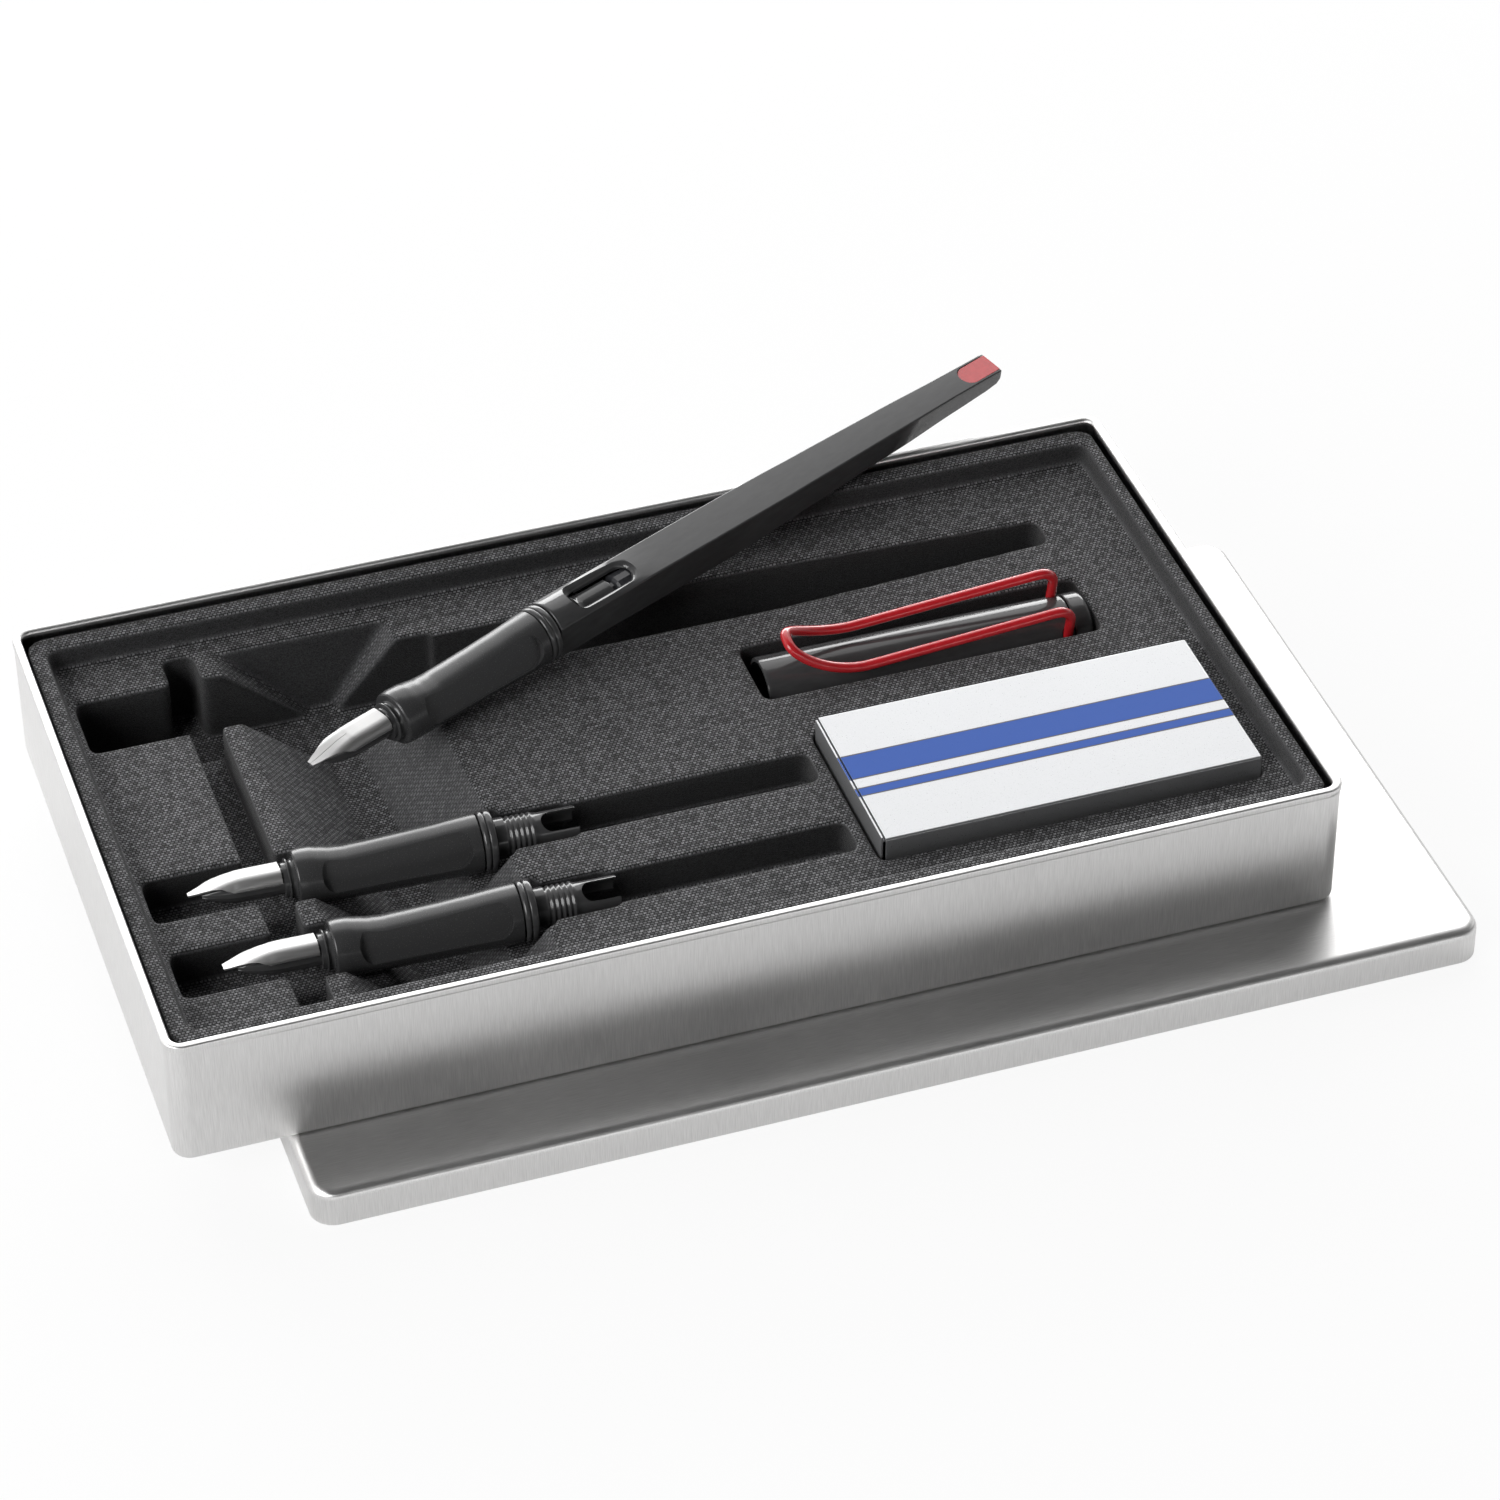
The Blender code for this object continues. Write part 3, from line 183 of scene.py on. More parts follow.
def placed(master, name, pose):
    """Copy a master piece, note its own coordinates in an attribute, and set it in its place."""
    alone(master)
    bpy.ops.object.duplicate()
    piece = bpy.context.active_object
    piece.name = name
    piece.data.name = name
    own = piece.data.attributes.new("own_place", "FLOAT_VECTOR", "POINT")
    for point, value in zip(piece.data.vertices, own.data):
        value.vector = point.co
    piece.matrix_world = pose
    bpy.ops.object.transform_apply(location=True, rotation=True, scale=True)
    return piece


def pose_of(place, roll, tilt, turn):
    """Matrix of a piece whose own X axis is rolled, tipped up and turned, in that order."""
    return Matrix.Translation(place) @ Euler((roll, -tilt, turn)).to_matrix().to_4x4()

# %% [markdown]
# ## Finishes
# A finish is one shader with a little disorder in it. Three things change over the surface:
# the colour, the roughness and the height. All three read the same stretched noise, so a
# scratch that is lighter is also rougher and lies a little deeper.

# %% Node tools
def finish(name, colour, roughness, metallic=0.0, **settings):
    """Make one material and set the numbers that are the same all over it."""
    material = bpy.data.materials.new(name)
    material.use_nodes = True
    shader = material.node_tree.nodes["Principled BSDF"]
    shader.inputs["Base Color"].default_value = (*colour, 1)
    shader.inputs["Roughness"].default_value = roughness
    shader.inputs["Metallic"].default_value = metallic
    for label, value in settings.items():
        shader.inputs[label.replace("_", " ")].default_value = value
    return material


def node(material, kind, **values):
    """Add a node and set its properties, or its inputs where a name is an input's."""
    made = material.node_tree.nodes.new(kind)
    for name, value in values.items():
        label = name.replace("_", " ")
        if label in made.inputs:
            made.inputs[label].default_value = value
        else:
            setattr(made, name, value)
    return made


def link(material, source, output, target, socket):
    """Join an output of one node to an input of another."""
    material.node_tree.links.new(source.outputs[output], target.inputs[socket])


def fed(material, target, sockets, terms):
    """Fill inputs with values, or join them where a term is a pair of a node and its output."""
    for socket, term in zip(sockets, terms):
        if isinstance(term, tuple) and isinstance(term[0], bpy.types.Node):
            link(material, *term, target, socket)
        else:
            target.inputs[socket].default_value = term
    return target

# %% [markdown]
# Patterns are sums and mixes of other patterns. Each term is a value, or a node with the
# name or number of its output.

# %% Sums and mixes
MIX_SOCKETS = {"FLOAT": (0, 2, 3), "VECTOR": (0, 4, 5), "RGBA": (0, 6, 7)}


def computed(material, operation, *terms):
    """Calculate with one or two terms."""
    return fed(material, node(material, "ShaderNodeMath", operation=operation), (0, 1), terms)


def mixed(material, kind, *terms, **settings):
    """Mix by a share, which is the first term, between the two others."""
    made = node(material, "ShaderNodeMix", data_type=kind, **settings)
    return fed(material, made, MIX_SOCKETS[kind], terms)


def parted(material, source, output):
    """The three parts of a vector."""
    made = node(material, "ShaderNodeSeparateXYZ")
    link(material, source, output, made, "Vector")
    return made

# %% [markdown]
# Noise is read in stretched coordinates, which draws its round spots out into long lines.

# %% Grain tools
def coordinates(material, scale, own=False):
    """Coordinates in stretched units: the piece's own, or those of the whole set."""
    if own:
        source = node(material, "ShaderNodeAttribute", attribute_name="own_place")
        output = "Vector"
    else:
        source = node(material, "ShaderNodeTexCoord")
        output = "Object"
    mapping = node(material, "ShaderNodeMapping", Scale=scale)
    link(material, source, output, mapping, "Vector")
    return mapping


def noise(material, mapping, scale=1.0, detail=3.0, roughness=0.55):
    """Noise over the given coordinates."""
    made = node(material, "ShaderNodeTexNoise", Scale=scale, Detail=detail, Roughness=roughness)
    link(material, mapping, "Vector", made, "Vector")
    return made


def spread(material, source, low, high, start=0.3, end=0.7, output="Fac"):
    """Map a range of a pattern onto a range of numbers."""
    made = node(material, "ShaderNodeMapRange", From_Min=start, From_Max=end, To_Min=low, To_Max=high)
    link(material, source, output, made, "Value")
    return made


def tinted(material, source, output, dark, light):
    """Colour between two tones by a pattern."""
    return mixed(material, "RGBA", (source, output), (*dark, 1), (*light, 1))


def bumped(material, source, output, distance, strength=1.0):
    """Turn a pattern into fine relief of a real depth."""
    shader = material.node_tree.nodes["Principled BSDF"]
    made = node(material, "ShaderNodeBump", Distance=distance, Strength=strength)
    link(material, source, output, made, "Height")
    link(material, made, "Normal", shader, "Normal")


def grained(material, stretch, dark, light, rough_low, rough_high, depth, own=True):
    """Drive colour, roughness and relief of a finish with one stretched noise."""
    shader = material.node_tree.nodes["Principled BSDF"]
    grain = noise(material, coordinates(material, stretch, own))
    share = spread(material, grain, 0.0, 1.0)
    tone = tinted(material, share, "Result", dark, light)
    link(material, tone, 2, shader, "Base Color")
    rough = spread(material, grain, rough_low, rough_high)
    link(material, rough, "Result", shader, "Roughness")
    bumped(material, grain, "Fac", depth)

# %% [markdown]
# ### Brushed tin
# The sheet was brushed before it was drawn. On the walls the lines run up and down, and on
# the flat lid they run along it, so two stretched noises are mixed by the way a face looks.
# Grooves blur a mirror across themselves and hardly along themselves. The shader does this
# with its anisotropy, whose tangent has to point across the lines.

# %% Brushed tin
WALL_LINES = (9000, 9000, 260)
TOP_LINES = (260, 9000, 9000)


def brushed_tin(name):
    """Brushed sheet: lines up the walls and along the top."""
    tin = finish(name, (0.76, 0.755, 0.75), 0.4, 1.0, Anisotropic=0.78)
    shader = tin.node_tree.nodes["Principled BSDF"]
    facing = node(tin, "ShaderNodeNewGeometry")
    flat = computed(tin, "ABSOLUTE", (parted(tin, facing, "Normal"), "Z"))
    share = spread(tin, flat, 0.0, 1.0, 0.55, 0.85, output=0)
    across = []
    for axis in ((0, 0, 1), (1, 0, 0)):
        tangent = node(tin, "ShaderNodeVectorMath", operation="CROSS_PRODUCT")
        tangent.inputs[1].default_value = axis
        link(tin, facing, "Normal", tangent, 0)
        across.append(tangent)
    tangent = mixed(tin, "VECTOR", (share, "Result"), (across[0], 0), (across[1], 0))
    link(tin, tangent, 1, shader, "Tangent")
    wall = noise(tin, coordinates(tin, WALL_LINES), detail=2.0)
    top = noise(tin, coordinates(tin, TOP_LINES), detail=2.0)
    lines = mixed(tin, "FLOAT", (share, "Result"), (wall, "Fac"), (top, "Fac"))
    share = spread(tin, lines, 0.0, 1.0, output=0)
    tone = tinted(tin, share, "Result", (0.69, 0.685, 0.68), (0.83, 0.825, 0.82))
    link(tin, tone, 2, shader, "Base Color")
    cloud = noise(tin, coordinates(tin, (60, 60, 60)), detail=4.0)
    grooved = spread(tin, lines, 0.36, 0.44, output=0)
    handled = spread(tin, cloud, -0.03, 0.03)
    total = computed(tin, "ADD", (grooved, "Result"), (handled, "Result"))
    link(tin, total, 0, shader, "Roughness")
    bumped(tin, lines, 0, 0.002 * MM)
    return tin


TIN = brushed_tin("brushed_tin")

# %% [markdown]
# ### Charcoal flock
# The insert is covered with a knitted fabric with a short pile. Its stitches lie in rows that
# are shifted by half a stitch, and that is just what the Brick texture draws: a brick is a
# stitch, and soft mortar is the dark gap round it. The cloth is laid from above. On a steep
# wall it is stretched, so that only its pile shows there. Faces that look sideways or down get
# painted shade: their colour is made darker, which darkens the pocket walls as shade would.

# %% Charcoal flock
STITCH_LENGTH = 0.74
ROW_PITCH = 0.60
STITCH_GAP = 0.24
STITCH_WANDER = (0.22, 0.22, 0)
STRETCHED_CLOTH = (0.10, 0.10, 0.104)
DARK_STITCH = (0.085, 0.085, 0.088, 1)
LIGHT_STITCH = (0.31, 0.31, 0.32, 1)
GAP_SHADE = (0.006, 0.006, 0.0065, 1)


def knitted_flock(name):
    """Charcoal knit with uneven stitches, fuzz and single light fibres."""
    flock = finish(name, (0.05, 0.05, 0.053), 1.0, Sheen_Weight=0.12, Sheen_Roughness=0.5,
                   Specular_IOR_Level=0.1)
    shader = flock.node_tree.nodes["Principled BSDF"]
    place = coordinates(flock, (1000, 1000, 1000))
    facing = parted(flock, node(flock, "ShaderNodeNewGeometry"), "Normal")
    wander = noise(flock, place, 1.2)
    pulled = node(flock, "ShaderNodeVectorMath", operation="MULTIPLY_ADD")
    pulled.inputs[1].default_value = STITCH_WANDER
    link(flock, wander, "Color", pulled, 0)
    link(flock, place, "Vector", pulled, 2)
    knit = node(flock, "ShaderNodeTexBrick", Scale=1.0, Mortar_Size=STITCH_GAP, Mortar_Smooth=1.0,
                Brick_Width=STITCH_LENGTH, Row_Height=ROW_PITCH)
    knit.inputs["Color1"].default_value = DARK_STITCH
    knit.inputs["Color2"].default_value = LIGHT_STITCH
    knit.inputs["Mortar"].default_value = GAP_SHADE
    link(flock, pulled, 0, knit, "Vector")
    fuzz = noise(flock, place, 3.4, 4.0, 0.8)
    speck = spread(flock, fuzz, 0.45, 1.7, 0.34, 0.66)
    level = spread(flock, facing, 0.0, 1.0, 0.55, 0.82, output="Z")
    stitched = mixed(flock, "RGBA", (level, "Result"), (*STRETCHED_CLOTH, 1), (knit, "Color"))
    specked_tone = mixed(flock, "RGBA", 1.0, (stitched, 2), (speck, "Result"), blend_type="MULTIPLY")
    # Painted shade: the colour grows darker as a face turns from up to sideways and down, as on the pocket
    # walls.
    painted_wall_shade = spread(flock, facing, 0.30, 1.0, 0.2, 0.72, output="Z")
    knit_with_painted_shade = mixed(flock, "RGBA", 1.0, (specked_tone, 2), (painted_wall_shade, "Result"), blend_type="MULTIPLY")
    link(flock, knit_with_painted_shade, 2, shader, "Base Color")
    gaps = computed(flock, "MULTIPLY", (knit, "Fac"), (level, "Result"))
    pile = computed(flock, "SUBTRACT", (speck, "Result"), (gaps, 0))
    bumped(flock, pile, 0, 0.10 * MM, 0.9)
    return flock


FLOCK = knitted_flock("knitted_charcoal_flock")

# %% [markdown]
# ### Plastics, steel and card
# The moulded black parts differ only in polish. The grip was sparked in its mould, so it is
# satin with a fine grain, and the cap and barrel came from a polished mould, so they get
# almost no grain but a trace of hairline scratches from handling.

# %% Plastics
BLACK = finish("gloss_black", (0.012, 0.012, 0.013), 0.09)
grained(BLACK, (300, 900, 900), (0.050, 0.050, 0.051), (0.060, 0.060, 0.0615),
        0.12, 0.17, 0.0002 * MM)
SATIN = finish("satin_grip", (0.03, 0.03, 0.031), 0.4)
grained(SATIN, (5500, 5500, 5500), (0.040, 0.040, 0.041), (0.048, 0.048, 0.049),
        0.23, 0.28, 0.001 * MM)
RED = finish("red_lacquer", (0.5, 0.014, 0.02), 0.25, Coat_Weight=0.7, Coat_Roughness=0.22)
grained(RED, (700, 700, 700), (0.52, 0.012, 0.018), (0.60, 0.018, 0.026),
        0.20, 0.26, 0.0002 * MM)
LINER = finish("grey_liner", (0.22, 0.22, 0.23), 0.5)
grained(LINER, (2500, 2500, 2500), (0.19, 0.19, 0.20), (0.25, 0.25, 0.26),
        0.42, 0.56, 0.004 * MM)
INK = finish("dark_ink_plastic", (0.04, 0.042, 0.05), 0.25)
grained(INK, (1200, 1200, 1200), (0.030, 0.031, 0.035), (0.044, 0.045, 0.050),
        0.16, 0.24, 0.001 * MM, own=False)

# %% [markdown]
# ### Polished nib steel
# A nib is polished along its length, and its broad tip is ground. Long thin lines that run
# from the root to the tip, read from the nib's own coordinates, keep it from looking printed.

# %% Nib steel
STEEL = finish("polished_nib_steel", (0.88, 0.87, 0.86), 0.34, 1.0)
grained(STEEL, (260, 9000, 9000), (0.40, 0.398, 0.396), (0.46, 0.458, 0.456),
        0.44, 0.56, 0.001 * MM)

# %% [markdown]
# ### Printed card
# The carton is thin board with a silvery white varnish. Its print is plain: two blue bands
# with a thin grey line beside each. They are drawn by comparing how far a point lies across
# the carton with each band's place, only where the card looks up.

# %% Printed card
CARTON_LOW, CARTON_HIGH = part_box("carton_sleeve")
CARD_SILVER = 0.75
INK_BLUE = (0.03, 0.10, 0.42)
KEYLINE_GREY = (0.10, 0.10, 0.11)
BANDS = (
    (20.6 * MM, 3.1 * MM, INK_BLUE),
    (20.6 * MM, 3.4 * MM, KEYLINE_GREY),
    (13.6 * MM, 0.9 * MM, INK_BLUE),
    (13.6 * MM, 1.2 * MM, KEYLINE_GREY),
)


def printed_card(name):
    """Varnished white board with plain printed bands on its upper side."""
    card = finish(name, (0.6, 0.605, 0.615), 0.3, CARD_SILVER, Specular_IOR_Level=0.12)
    shader = card.node_tree.nodes["Principled BSDF"]
    across = parted(card, node(card, "ShaderNodeTexCoord"), "Object")
    facing = parted(card, node(card, "ShaderNodeNewGeometry"), "Normal")
    upper = computed(card, "GREATER_THAN", (facing, "Z"), 0.8)
    fibre = noise(card, coordinates(card, (4500, 4500, 4500)), detail=4.0)
    share = spread(card, fibre, 0.0, 1.0)
    tone = tinted(card, share, "Result", (0.40, 0.404, 0.412), (0.43, 0.434, 0.442))
    inked = None
    for middle, half, ink in reversed(BANDS):
        away = computed(card, "SUBTRACT", (across, "Y"), CARTON_LOW.y + middle)
        distance = computed(card, "ABSOLUTE", (away, 0))
        inside = computed(card, "LESS_THAN", (distance, 0), half)
        mask = computed(card, "MULTIPLY", (inside, 0), (upper, 0))
        tone = mixed(card, "RGBA", (mask, 0), (tone, 2), (*ink, 1))
        inked = mask if inked is None else computed(card, "MAXIMUM", (inked, 0), (mask, 0))
    silver = spread(card, inked, CARD_SILVER, 0.0, 0.0, 1.0, output=0)
    link(card, silver, "Result", shader, "Metallic")
    link(card, tone, 2, shader, "Base Color")
    link(card, spread(card, fibre, 0.27, 0.35), "Result", shader, "Roughness")
    bumped(card, fibre, "Fac", 0.003 * MM)
    return card


CARD = printed_card("printed_card")

# %% [markdown]
# ## Drawn sheet: the box and the lid
# Both are pressed from one sheet each. A drawn shape is a rounded block that steps in ring by
# ring, so it starts as a plane with bevelled corners, is raised, and then every rounding is a
# chain of small insets. Inset keeps the same distance all round, also in the corners.

# %% Tools for drawn sheet
CORNER_STEPS = 12


def pushed(x, y, z):
    """Extrude what is selected by a vector."""
    bpy.ops.mesh.extrude_region_move(TRANSFORM_OT_translate={"value": (x, y, z)})


def rounded_block(name, low, high, radius, bottom, top):
    """Raise a plane with rounded corners from one height to another, and keep it open for editing."""
    clear_bench()
    middle = (low + high) / 2
    bpy.ops.mesh.primitive_plane_add(size=1)
    piece = fresh(name)
    bpy.ops.transform.resize(value=(high.x - low.x, high.y - low.y, 1))
    bpy.ops.transform.translate(value=(middle.x, middle.y, bottom))
    bpy.ops.mesh.bevel(offset=radius, affect="VERTICES", segments=CORNER_STEPS)
    pick_all()
    pushed(0, 0, top - bottom)
    pick_all()
    bpy.ops.mesh.normals_make_consistent(inside=False)
    return piece


def pick_end(up):
    """Select the flat end face of the open shape that looks up or down."""
    pick("FACE", lambda face: face.normal.z * up > 0.9)


def step_in(inset, rise):
    """Inset the selected end face, or just push it where there is no inset, along Z."""
    if inset > 0:
        bpy.ops.mesh.inset(thickness=inset, depth=0)
        bpy.ops.transform.translate(value=(0, 0, rise))
    else:
        pushed(0, 0, rise)


def quarter(radius, steps, rise_first=True, up=1):
    """Round the selected end face off in steps that start along the wall, or along the flat."""
    for step in range(steps):
        start = math.tau / 4 * step / steps
        end = math.tau / 4 * (step + 1) / steps
        slow = radius * (math.cos(start) - math.cos(end))
        fast = radius * (math.sin(end) - math.sin(start))
        if rise_first:
            step_in(slow, up * fast)
        else:
            step_in(fast, up * slow)

# %% [markdown]
# ### The lid
# The lid lies top up and carries the box. Its broad edge is rounded over 1.8 mm, and under it
# the sheet is open. The skirt ends in a plain cut edge, where the sheet's thickness shows.

# %% Lid
SHEET = 0.55 * MM
LID_EDGE_RADIUS = 1.8 * MM
LID_CORNER_RADIUS = 4.35 * MM
ROUND_STEPS = 8

lid_low, lid_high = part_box("lid_shell")
skirt_top = lid_high.z - LID_EDGE_RADIUS
lid_top = rounded_block("tin_lid", lid_low, lid_high, LID_CORNER_RADIUS, lid_low.z, skirt_top)
pick_end(1)
quarter(LID_EDGE_RADIUS, ROUND_STEPS)
pick_end(-1)
step_in(SHEET, 0)
step_in(0, skirt_top - lid_low.z)
quarter(LID_EDGE_RADIUS - SHEET, ROUND_STEPS)
close_up()
smoothed(lid_top)
finished(lid_top, TIN, "lid", "tin", "lid_shell")

# %% [markdown]
# ### The box
# The box's rim is rolled inwards to a hem, 1.7 mm wide, that stands a hair proud of the wall.
# The dark line under the hem in the photo is that small step. The block therefore starts as
# the hem's widest band; the wall and the foot step in below it, and the roll above it.

# %% Box
HEM_PROUD = 0.2 * MM
HEM_HEIGHT = 1.5 * MM
HEM_WIDTH = 1.7 * MM
HEM_TURN = 0.42 * MM
HEM_TURN_STEPS = 5
HEM_UNDER = 0.28 * MM
HEM_ROLL = 0.8 * MM
HEM_ROLL_STEPS = 7
HEM_LIP = ((0.4, 0.75), (0.6, 0.25))
BOX_CORNER_RADIUS = 3.5 * MM
BOX_FOOT_RADIUS = 0.9 * MM

box_low, box_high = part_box("box_shell")
hem_bottom = box_high.z - HEM_HEIGHT
tin_box = rounded_block("tin_box", box_low, box_high, BOX_CORNER_RADIUS,
                        hem_bottom + HEM_UNDER, box_high.z - HEM_TURN)
pick_end(-1)
for inward, down in HEM_LIP:
    step_in(HEM_PROUD * inward, -HEM_UNDER * down)
step_in(0, box_low.z + BOX_FOOT_RADIUS - hem_bottom)
quarter(BOX_FOOT_RADIUS, ROUND_STEPS, up=-1)
pick_end(1)
quarter(HEM_TURN, HEM_TURN_STEPS)
step_in(HEM_WIDTH - HEM_TURN - HEM_ROLL, 0)
quarter(HEM_ROLL, HEM_ROLL_STEPS, rise_first=False, up=-1)
step_in(0, hem_bottom + HEM_UNDER - (box_high.z - HEM_ROLL))
close_up()

# %% [markdown]
# The inside below the hem is wider than the hem's opening, so an inset can't reach it. A
# second rounded block, the size of the hollow, is cut out of the first instead.

# %% Hollow of the box
inner = Vector((HEM_PROUD + SHEET, HEM_PROUD + SHEET, 0))
hollow = rounded_block("box_hollow", box_low + inner, box_high - inner, BOX_CORNER_RADIUS - inner.x,
                       box_low.z + SHEET, hem_bottom + HEM_UNDER)
close_up()
carved(tin_box, hollow)
smoothed(tin_box)
finished(tin_box, TIN, "box", "tin", "box_shell")

# %% [markdown]
# ## The flocked insert
# The insert is moulded foam under a knitted flock, so none of its edges is sharp. The CAD solid
# already has every pocket in its place. A copy of it is merged, remeshed into small even
# faces, and relaxed: the edges slump into soft rounds of about a millimetre.

# %% Insert
INSERT_VOXEL = 0.44 * MM
MOST_TRIANGLES = 190000


def reopened(piece):
    """Open a piece for editing again."""
    alone(piece)
    bpy.ops.object.mode_set(mode="EDIT")


insert_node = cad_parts["insert_tray"]
insert = bpy.data.objects.new("flocked_insert", insert_node.data.copy())
bpy.context.scene.collection.objects.link(insert)
reopened(insert)
close_up()
modified(insert, "REMESH", mode="VOXEL", voxel_size=INSERT_VOXEL)

# %% [markdown]
# The outer wall has to stay crisp, because only a hair of shadow parts it from the box's hem.
# A vertex group therefore holds only the points away from the outer wall, and only they slump.

# %% Relax the insert
KEPT_BORDER = 0.9 * MM
SLUMP_ROUNDS = 13

insert_low, insert_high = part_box("insert_tray")
slack = insert.vertex_groups.new(name="slack")
free = []
for point in insert.data.vertices:
    reach = min(point.co.x - insert_low.x, insert_high.x - point.co.x,
                point.co.y - insert_low.y, insert_high.y - point.co.y)
    if reach > KEPT_BORDER:
        free.append(point.index)
slack.add(free, 1.0, "REPLACE")
modified(insert, "SMOOTH", factor=0.5, iterations=SLUMP_ROUNDS, vertex_group="slack")
triangles = 2 * len(insert.data.polygons)
modified(insert, "DECIMATE", ratio=min(1.0, MOST_TRIANGLES / triangles))
alone(insert)
bpy.ops.object.shade_smooth()
finished(insert, FLOCK, "insert", "flock", "insert_tray")

# %% [markdown]
# ## Turned parts
# Rings, collars, the cap and the cartridge are round. Half of the section is drawn as a chain
# of points along X, and the chain is spun once round the axis.

# %% Tool for turned parts
TURN_STEPS = 72


def turned(name, outline, steps=TURN_STEPS):
    """Draw (along, radius) points as a closed chain and spin it round the X axis."""
    clear_bench()
    bpy.ops.mesh.primitive_plane_add(size=MM)
    piece = fresh(name)
    bpy.ops.mesh.merge(type="CENTER")
    along, radius = outline[0]
    bpy.ops.transform.translate(value=(along, 0, radius))
    for (x, r), (next_x, next_r) in zip(outline, outline[1:]):
        bpy.ops.mesh.extrude_vertices_move(TRANSFORM_OT_translate={"value": (next_x - x, 0, next_r - r)})
    pick_all()
    bpy.ops.mesh.spin(steps=steps, angle=math.tau, center=(0, 0, 0), axis=(1, 0, 0))
    close_up()
    return piece


def mm(*points):
    """Turn points in millimetres into metres."""
    return [(x * MM, r * MM) for x, r in points]

# %% [markdown]
# ### Collar, ring and threaded core of a nib unit
# The three nib units are alike but for the width of their nibs. Each shared piece is modelled
# once on its own axis, with the nib's tip at the origin, and copied into its three places.

# %% Collar
collar = turned("collar_master", mm(
    (16.5, 0.9), (16.5, 3.0), (16.6, 3.1), (17.3, 3.1), (17.3, 3.68), (17.37, 3.75), (17.53, 3.75),
    (17.6, 3.68), (17.68, 3.52), (17.85, 3.4), (18.1, 3.35), (18.35, 3.42), (18.55, 3.6),
    (18.62, 3.7), (24.0, 3.7), (24.0, 2.65), (18.0, 2.65), (18.0, 0.9), (16.5, 0.9)))
smoothed(collar, 25)

# %% Ring
ring = turned("ring_master", mm(
    (51.5, 3.5), (51.5, 5.05), (51.56, 5.22), (51.72, 5.38), (51.95, 5.48), (52.2, 5.5),
    (52.38, 5.46), (52.48, 5.36), (52.52, 5.22), (52.58, 5.18), (52.64, 5.22), (52.68, 5.36),
    (52.78, 5.46), (52.95, 5.5), (53.4, 5.5), (53.68, 5.44), (53.84, 5.32), (53.9, 5.15),
    (53.9, 3.5), (51.5, 3.5)))
smoothed(ring, 40)

# %% [markdown]
# Slots, flats and windows are all cut by blocks whose corners are rounded off, and what the
# cut leaves sharp gets a fine bevel.

# %% Tools for blocks
def block(name, middle, size):
    """Add a block of a size round a middle and open it for editing."""
    clear_bench()
    bpy.ops.mesh.primitive_cube_add(size=1, location=middle, scale=size)
    return fresh(name)


def upright(edge, least=MM):
    """Whether an edge of a block runs up and down."""
    return abs(edge.verts[0].co.z - edge.verts[1].co.z) > least


def round_edges(test, radius, segments):
    """Round off the edges of the open mesh that pass a test."""
    pick("EDGE", test)
    bpy.ops.mesh.bevel(offset=radius, segments=segments, affect="EDGES")


def rolled(turn):
    """Turn what is selected round the X axis."""
    bpy.ops.transform.rotate(value=turn, orient_axis="X", center_override=(0, 0, 0))


def softened(piece, width, segments, degrees):
    """Bevel the edges that are sharper than an angle."""
    modified(piece, "BEVEL", width=width, segments=segments, limit_method="ANGLE",
             angle_limit=math.radians(degrees))

# %% [markdown]
# The core ends in five rounded thread ridges and a fork. The fork's slot is a rounded block
# that is cut right through, which leaves two prongs that hold the cartridge.

# %% Threaded core
FORK_TURN = math.radians(36)
THREAD_START, THREAD_PITCH, RIDGES = 56.5, 0.96, 5
SLOT_MIDDLE, SLOT_SIZE = (66.9 * MM, 0, 0), (9.0 * MM, 3.8 * MM, 12 * MM)
SLOT_ROUND = 1.85 * MM
core_outline = [(24.6, 3.2), (54.2, 3.2), (54.2, 3.5), (54.32, 3.62), (56.0, 3.62)]
for ridge in range(RIDGES):
    valley = THREAD_START + THREAD_PITCH * ridge
    core_outline += [(valley - 0.12, 3.38), (valley, 3.31), (valley + 0.12, 3.38), (valley + 0.34, 3.56),
                     (valley + 0.50, 3.61), (valley + 0.66, 3.56)]
core_outline += [(61.3, 3.38), (61.8, 3.27), (62.4, 3.2), (68.7, 3.2), (68.95, 3.1), (69.0, 2.95),
                 (68.95, 2.7), (68.6, 2.65), (24.6, 2.65), (24.6, 3.2)]
core = turned("core_master", mm(*core_outline))
fork_slot = block("fork_slot", SLOT_MIDDLE, SLOT_SIZE)
round_edges(lambda edge: upright(edge) and edge.verts[0].co.x < SLOT_MIDDLE[0], SLOT_ROUND, segments=8)
pick_all()
rolled(-FORK_TURN)
close_up()
carved(core, fork_slot)
softened(core, width=0.16 * MM, segments=2, degrees=50)
smoothed(core, 30)

# %% [markdown]
# ### The grip
# The grip is round at both ends and has a waist on top. A cylinder is cut into stations, and
# each station's points are moved onto its own section, a little lower on top than below.

# %% Tools for shaped rods
def station_rod(name, start, length, shares, sides):
    """A cylinder along X, cut into stations at shares of its length."""
    clear_bench()
    middle = (start + length / 2, 0, 0)
    bpy.ops.mesh.primitive_cylinder_add(vertices=sides, radius=MM, depth=length, location=middle,
                                        rotation=(0, math.tau / 4, 0))
    piece = fresh(name)
    for share in shares:
        pick_all()
        bpy.ops.mesh.bisect(plane_co=(start + length * share, 0, 0), plane_no=(1, 0, 0), threshold=0.001 * MM)
    bpy.ops.object.mode_set(mode="OBJECT")
    return piece


EASE = 0.4


def row_between(rows, share):
    """Read a table of rows, whose first entry is a share, at any share between them."""
    for before, after in zip(rows, rows[1:]):
        if share <= after[0]:
            mix = (share - before[0]) / (after[0] - before[0])
            mix += (mix * mix * (3 - 2 * mix) - mix) * EASE
            return [a + (b - a) * mix for a, b in zip(before, after)]
    return list(rows[-1])

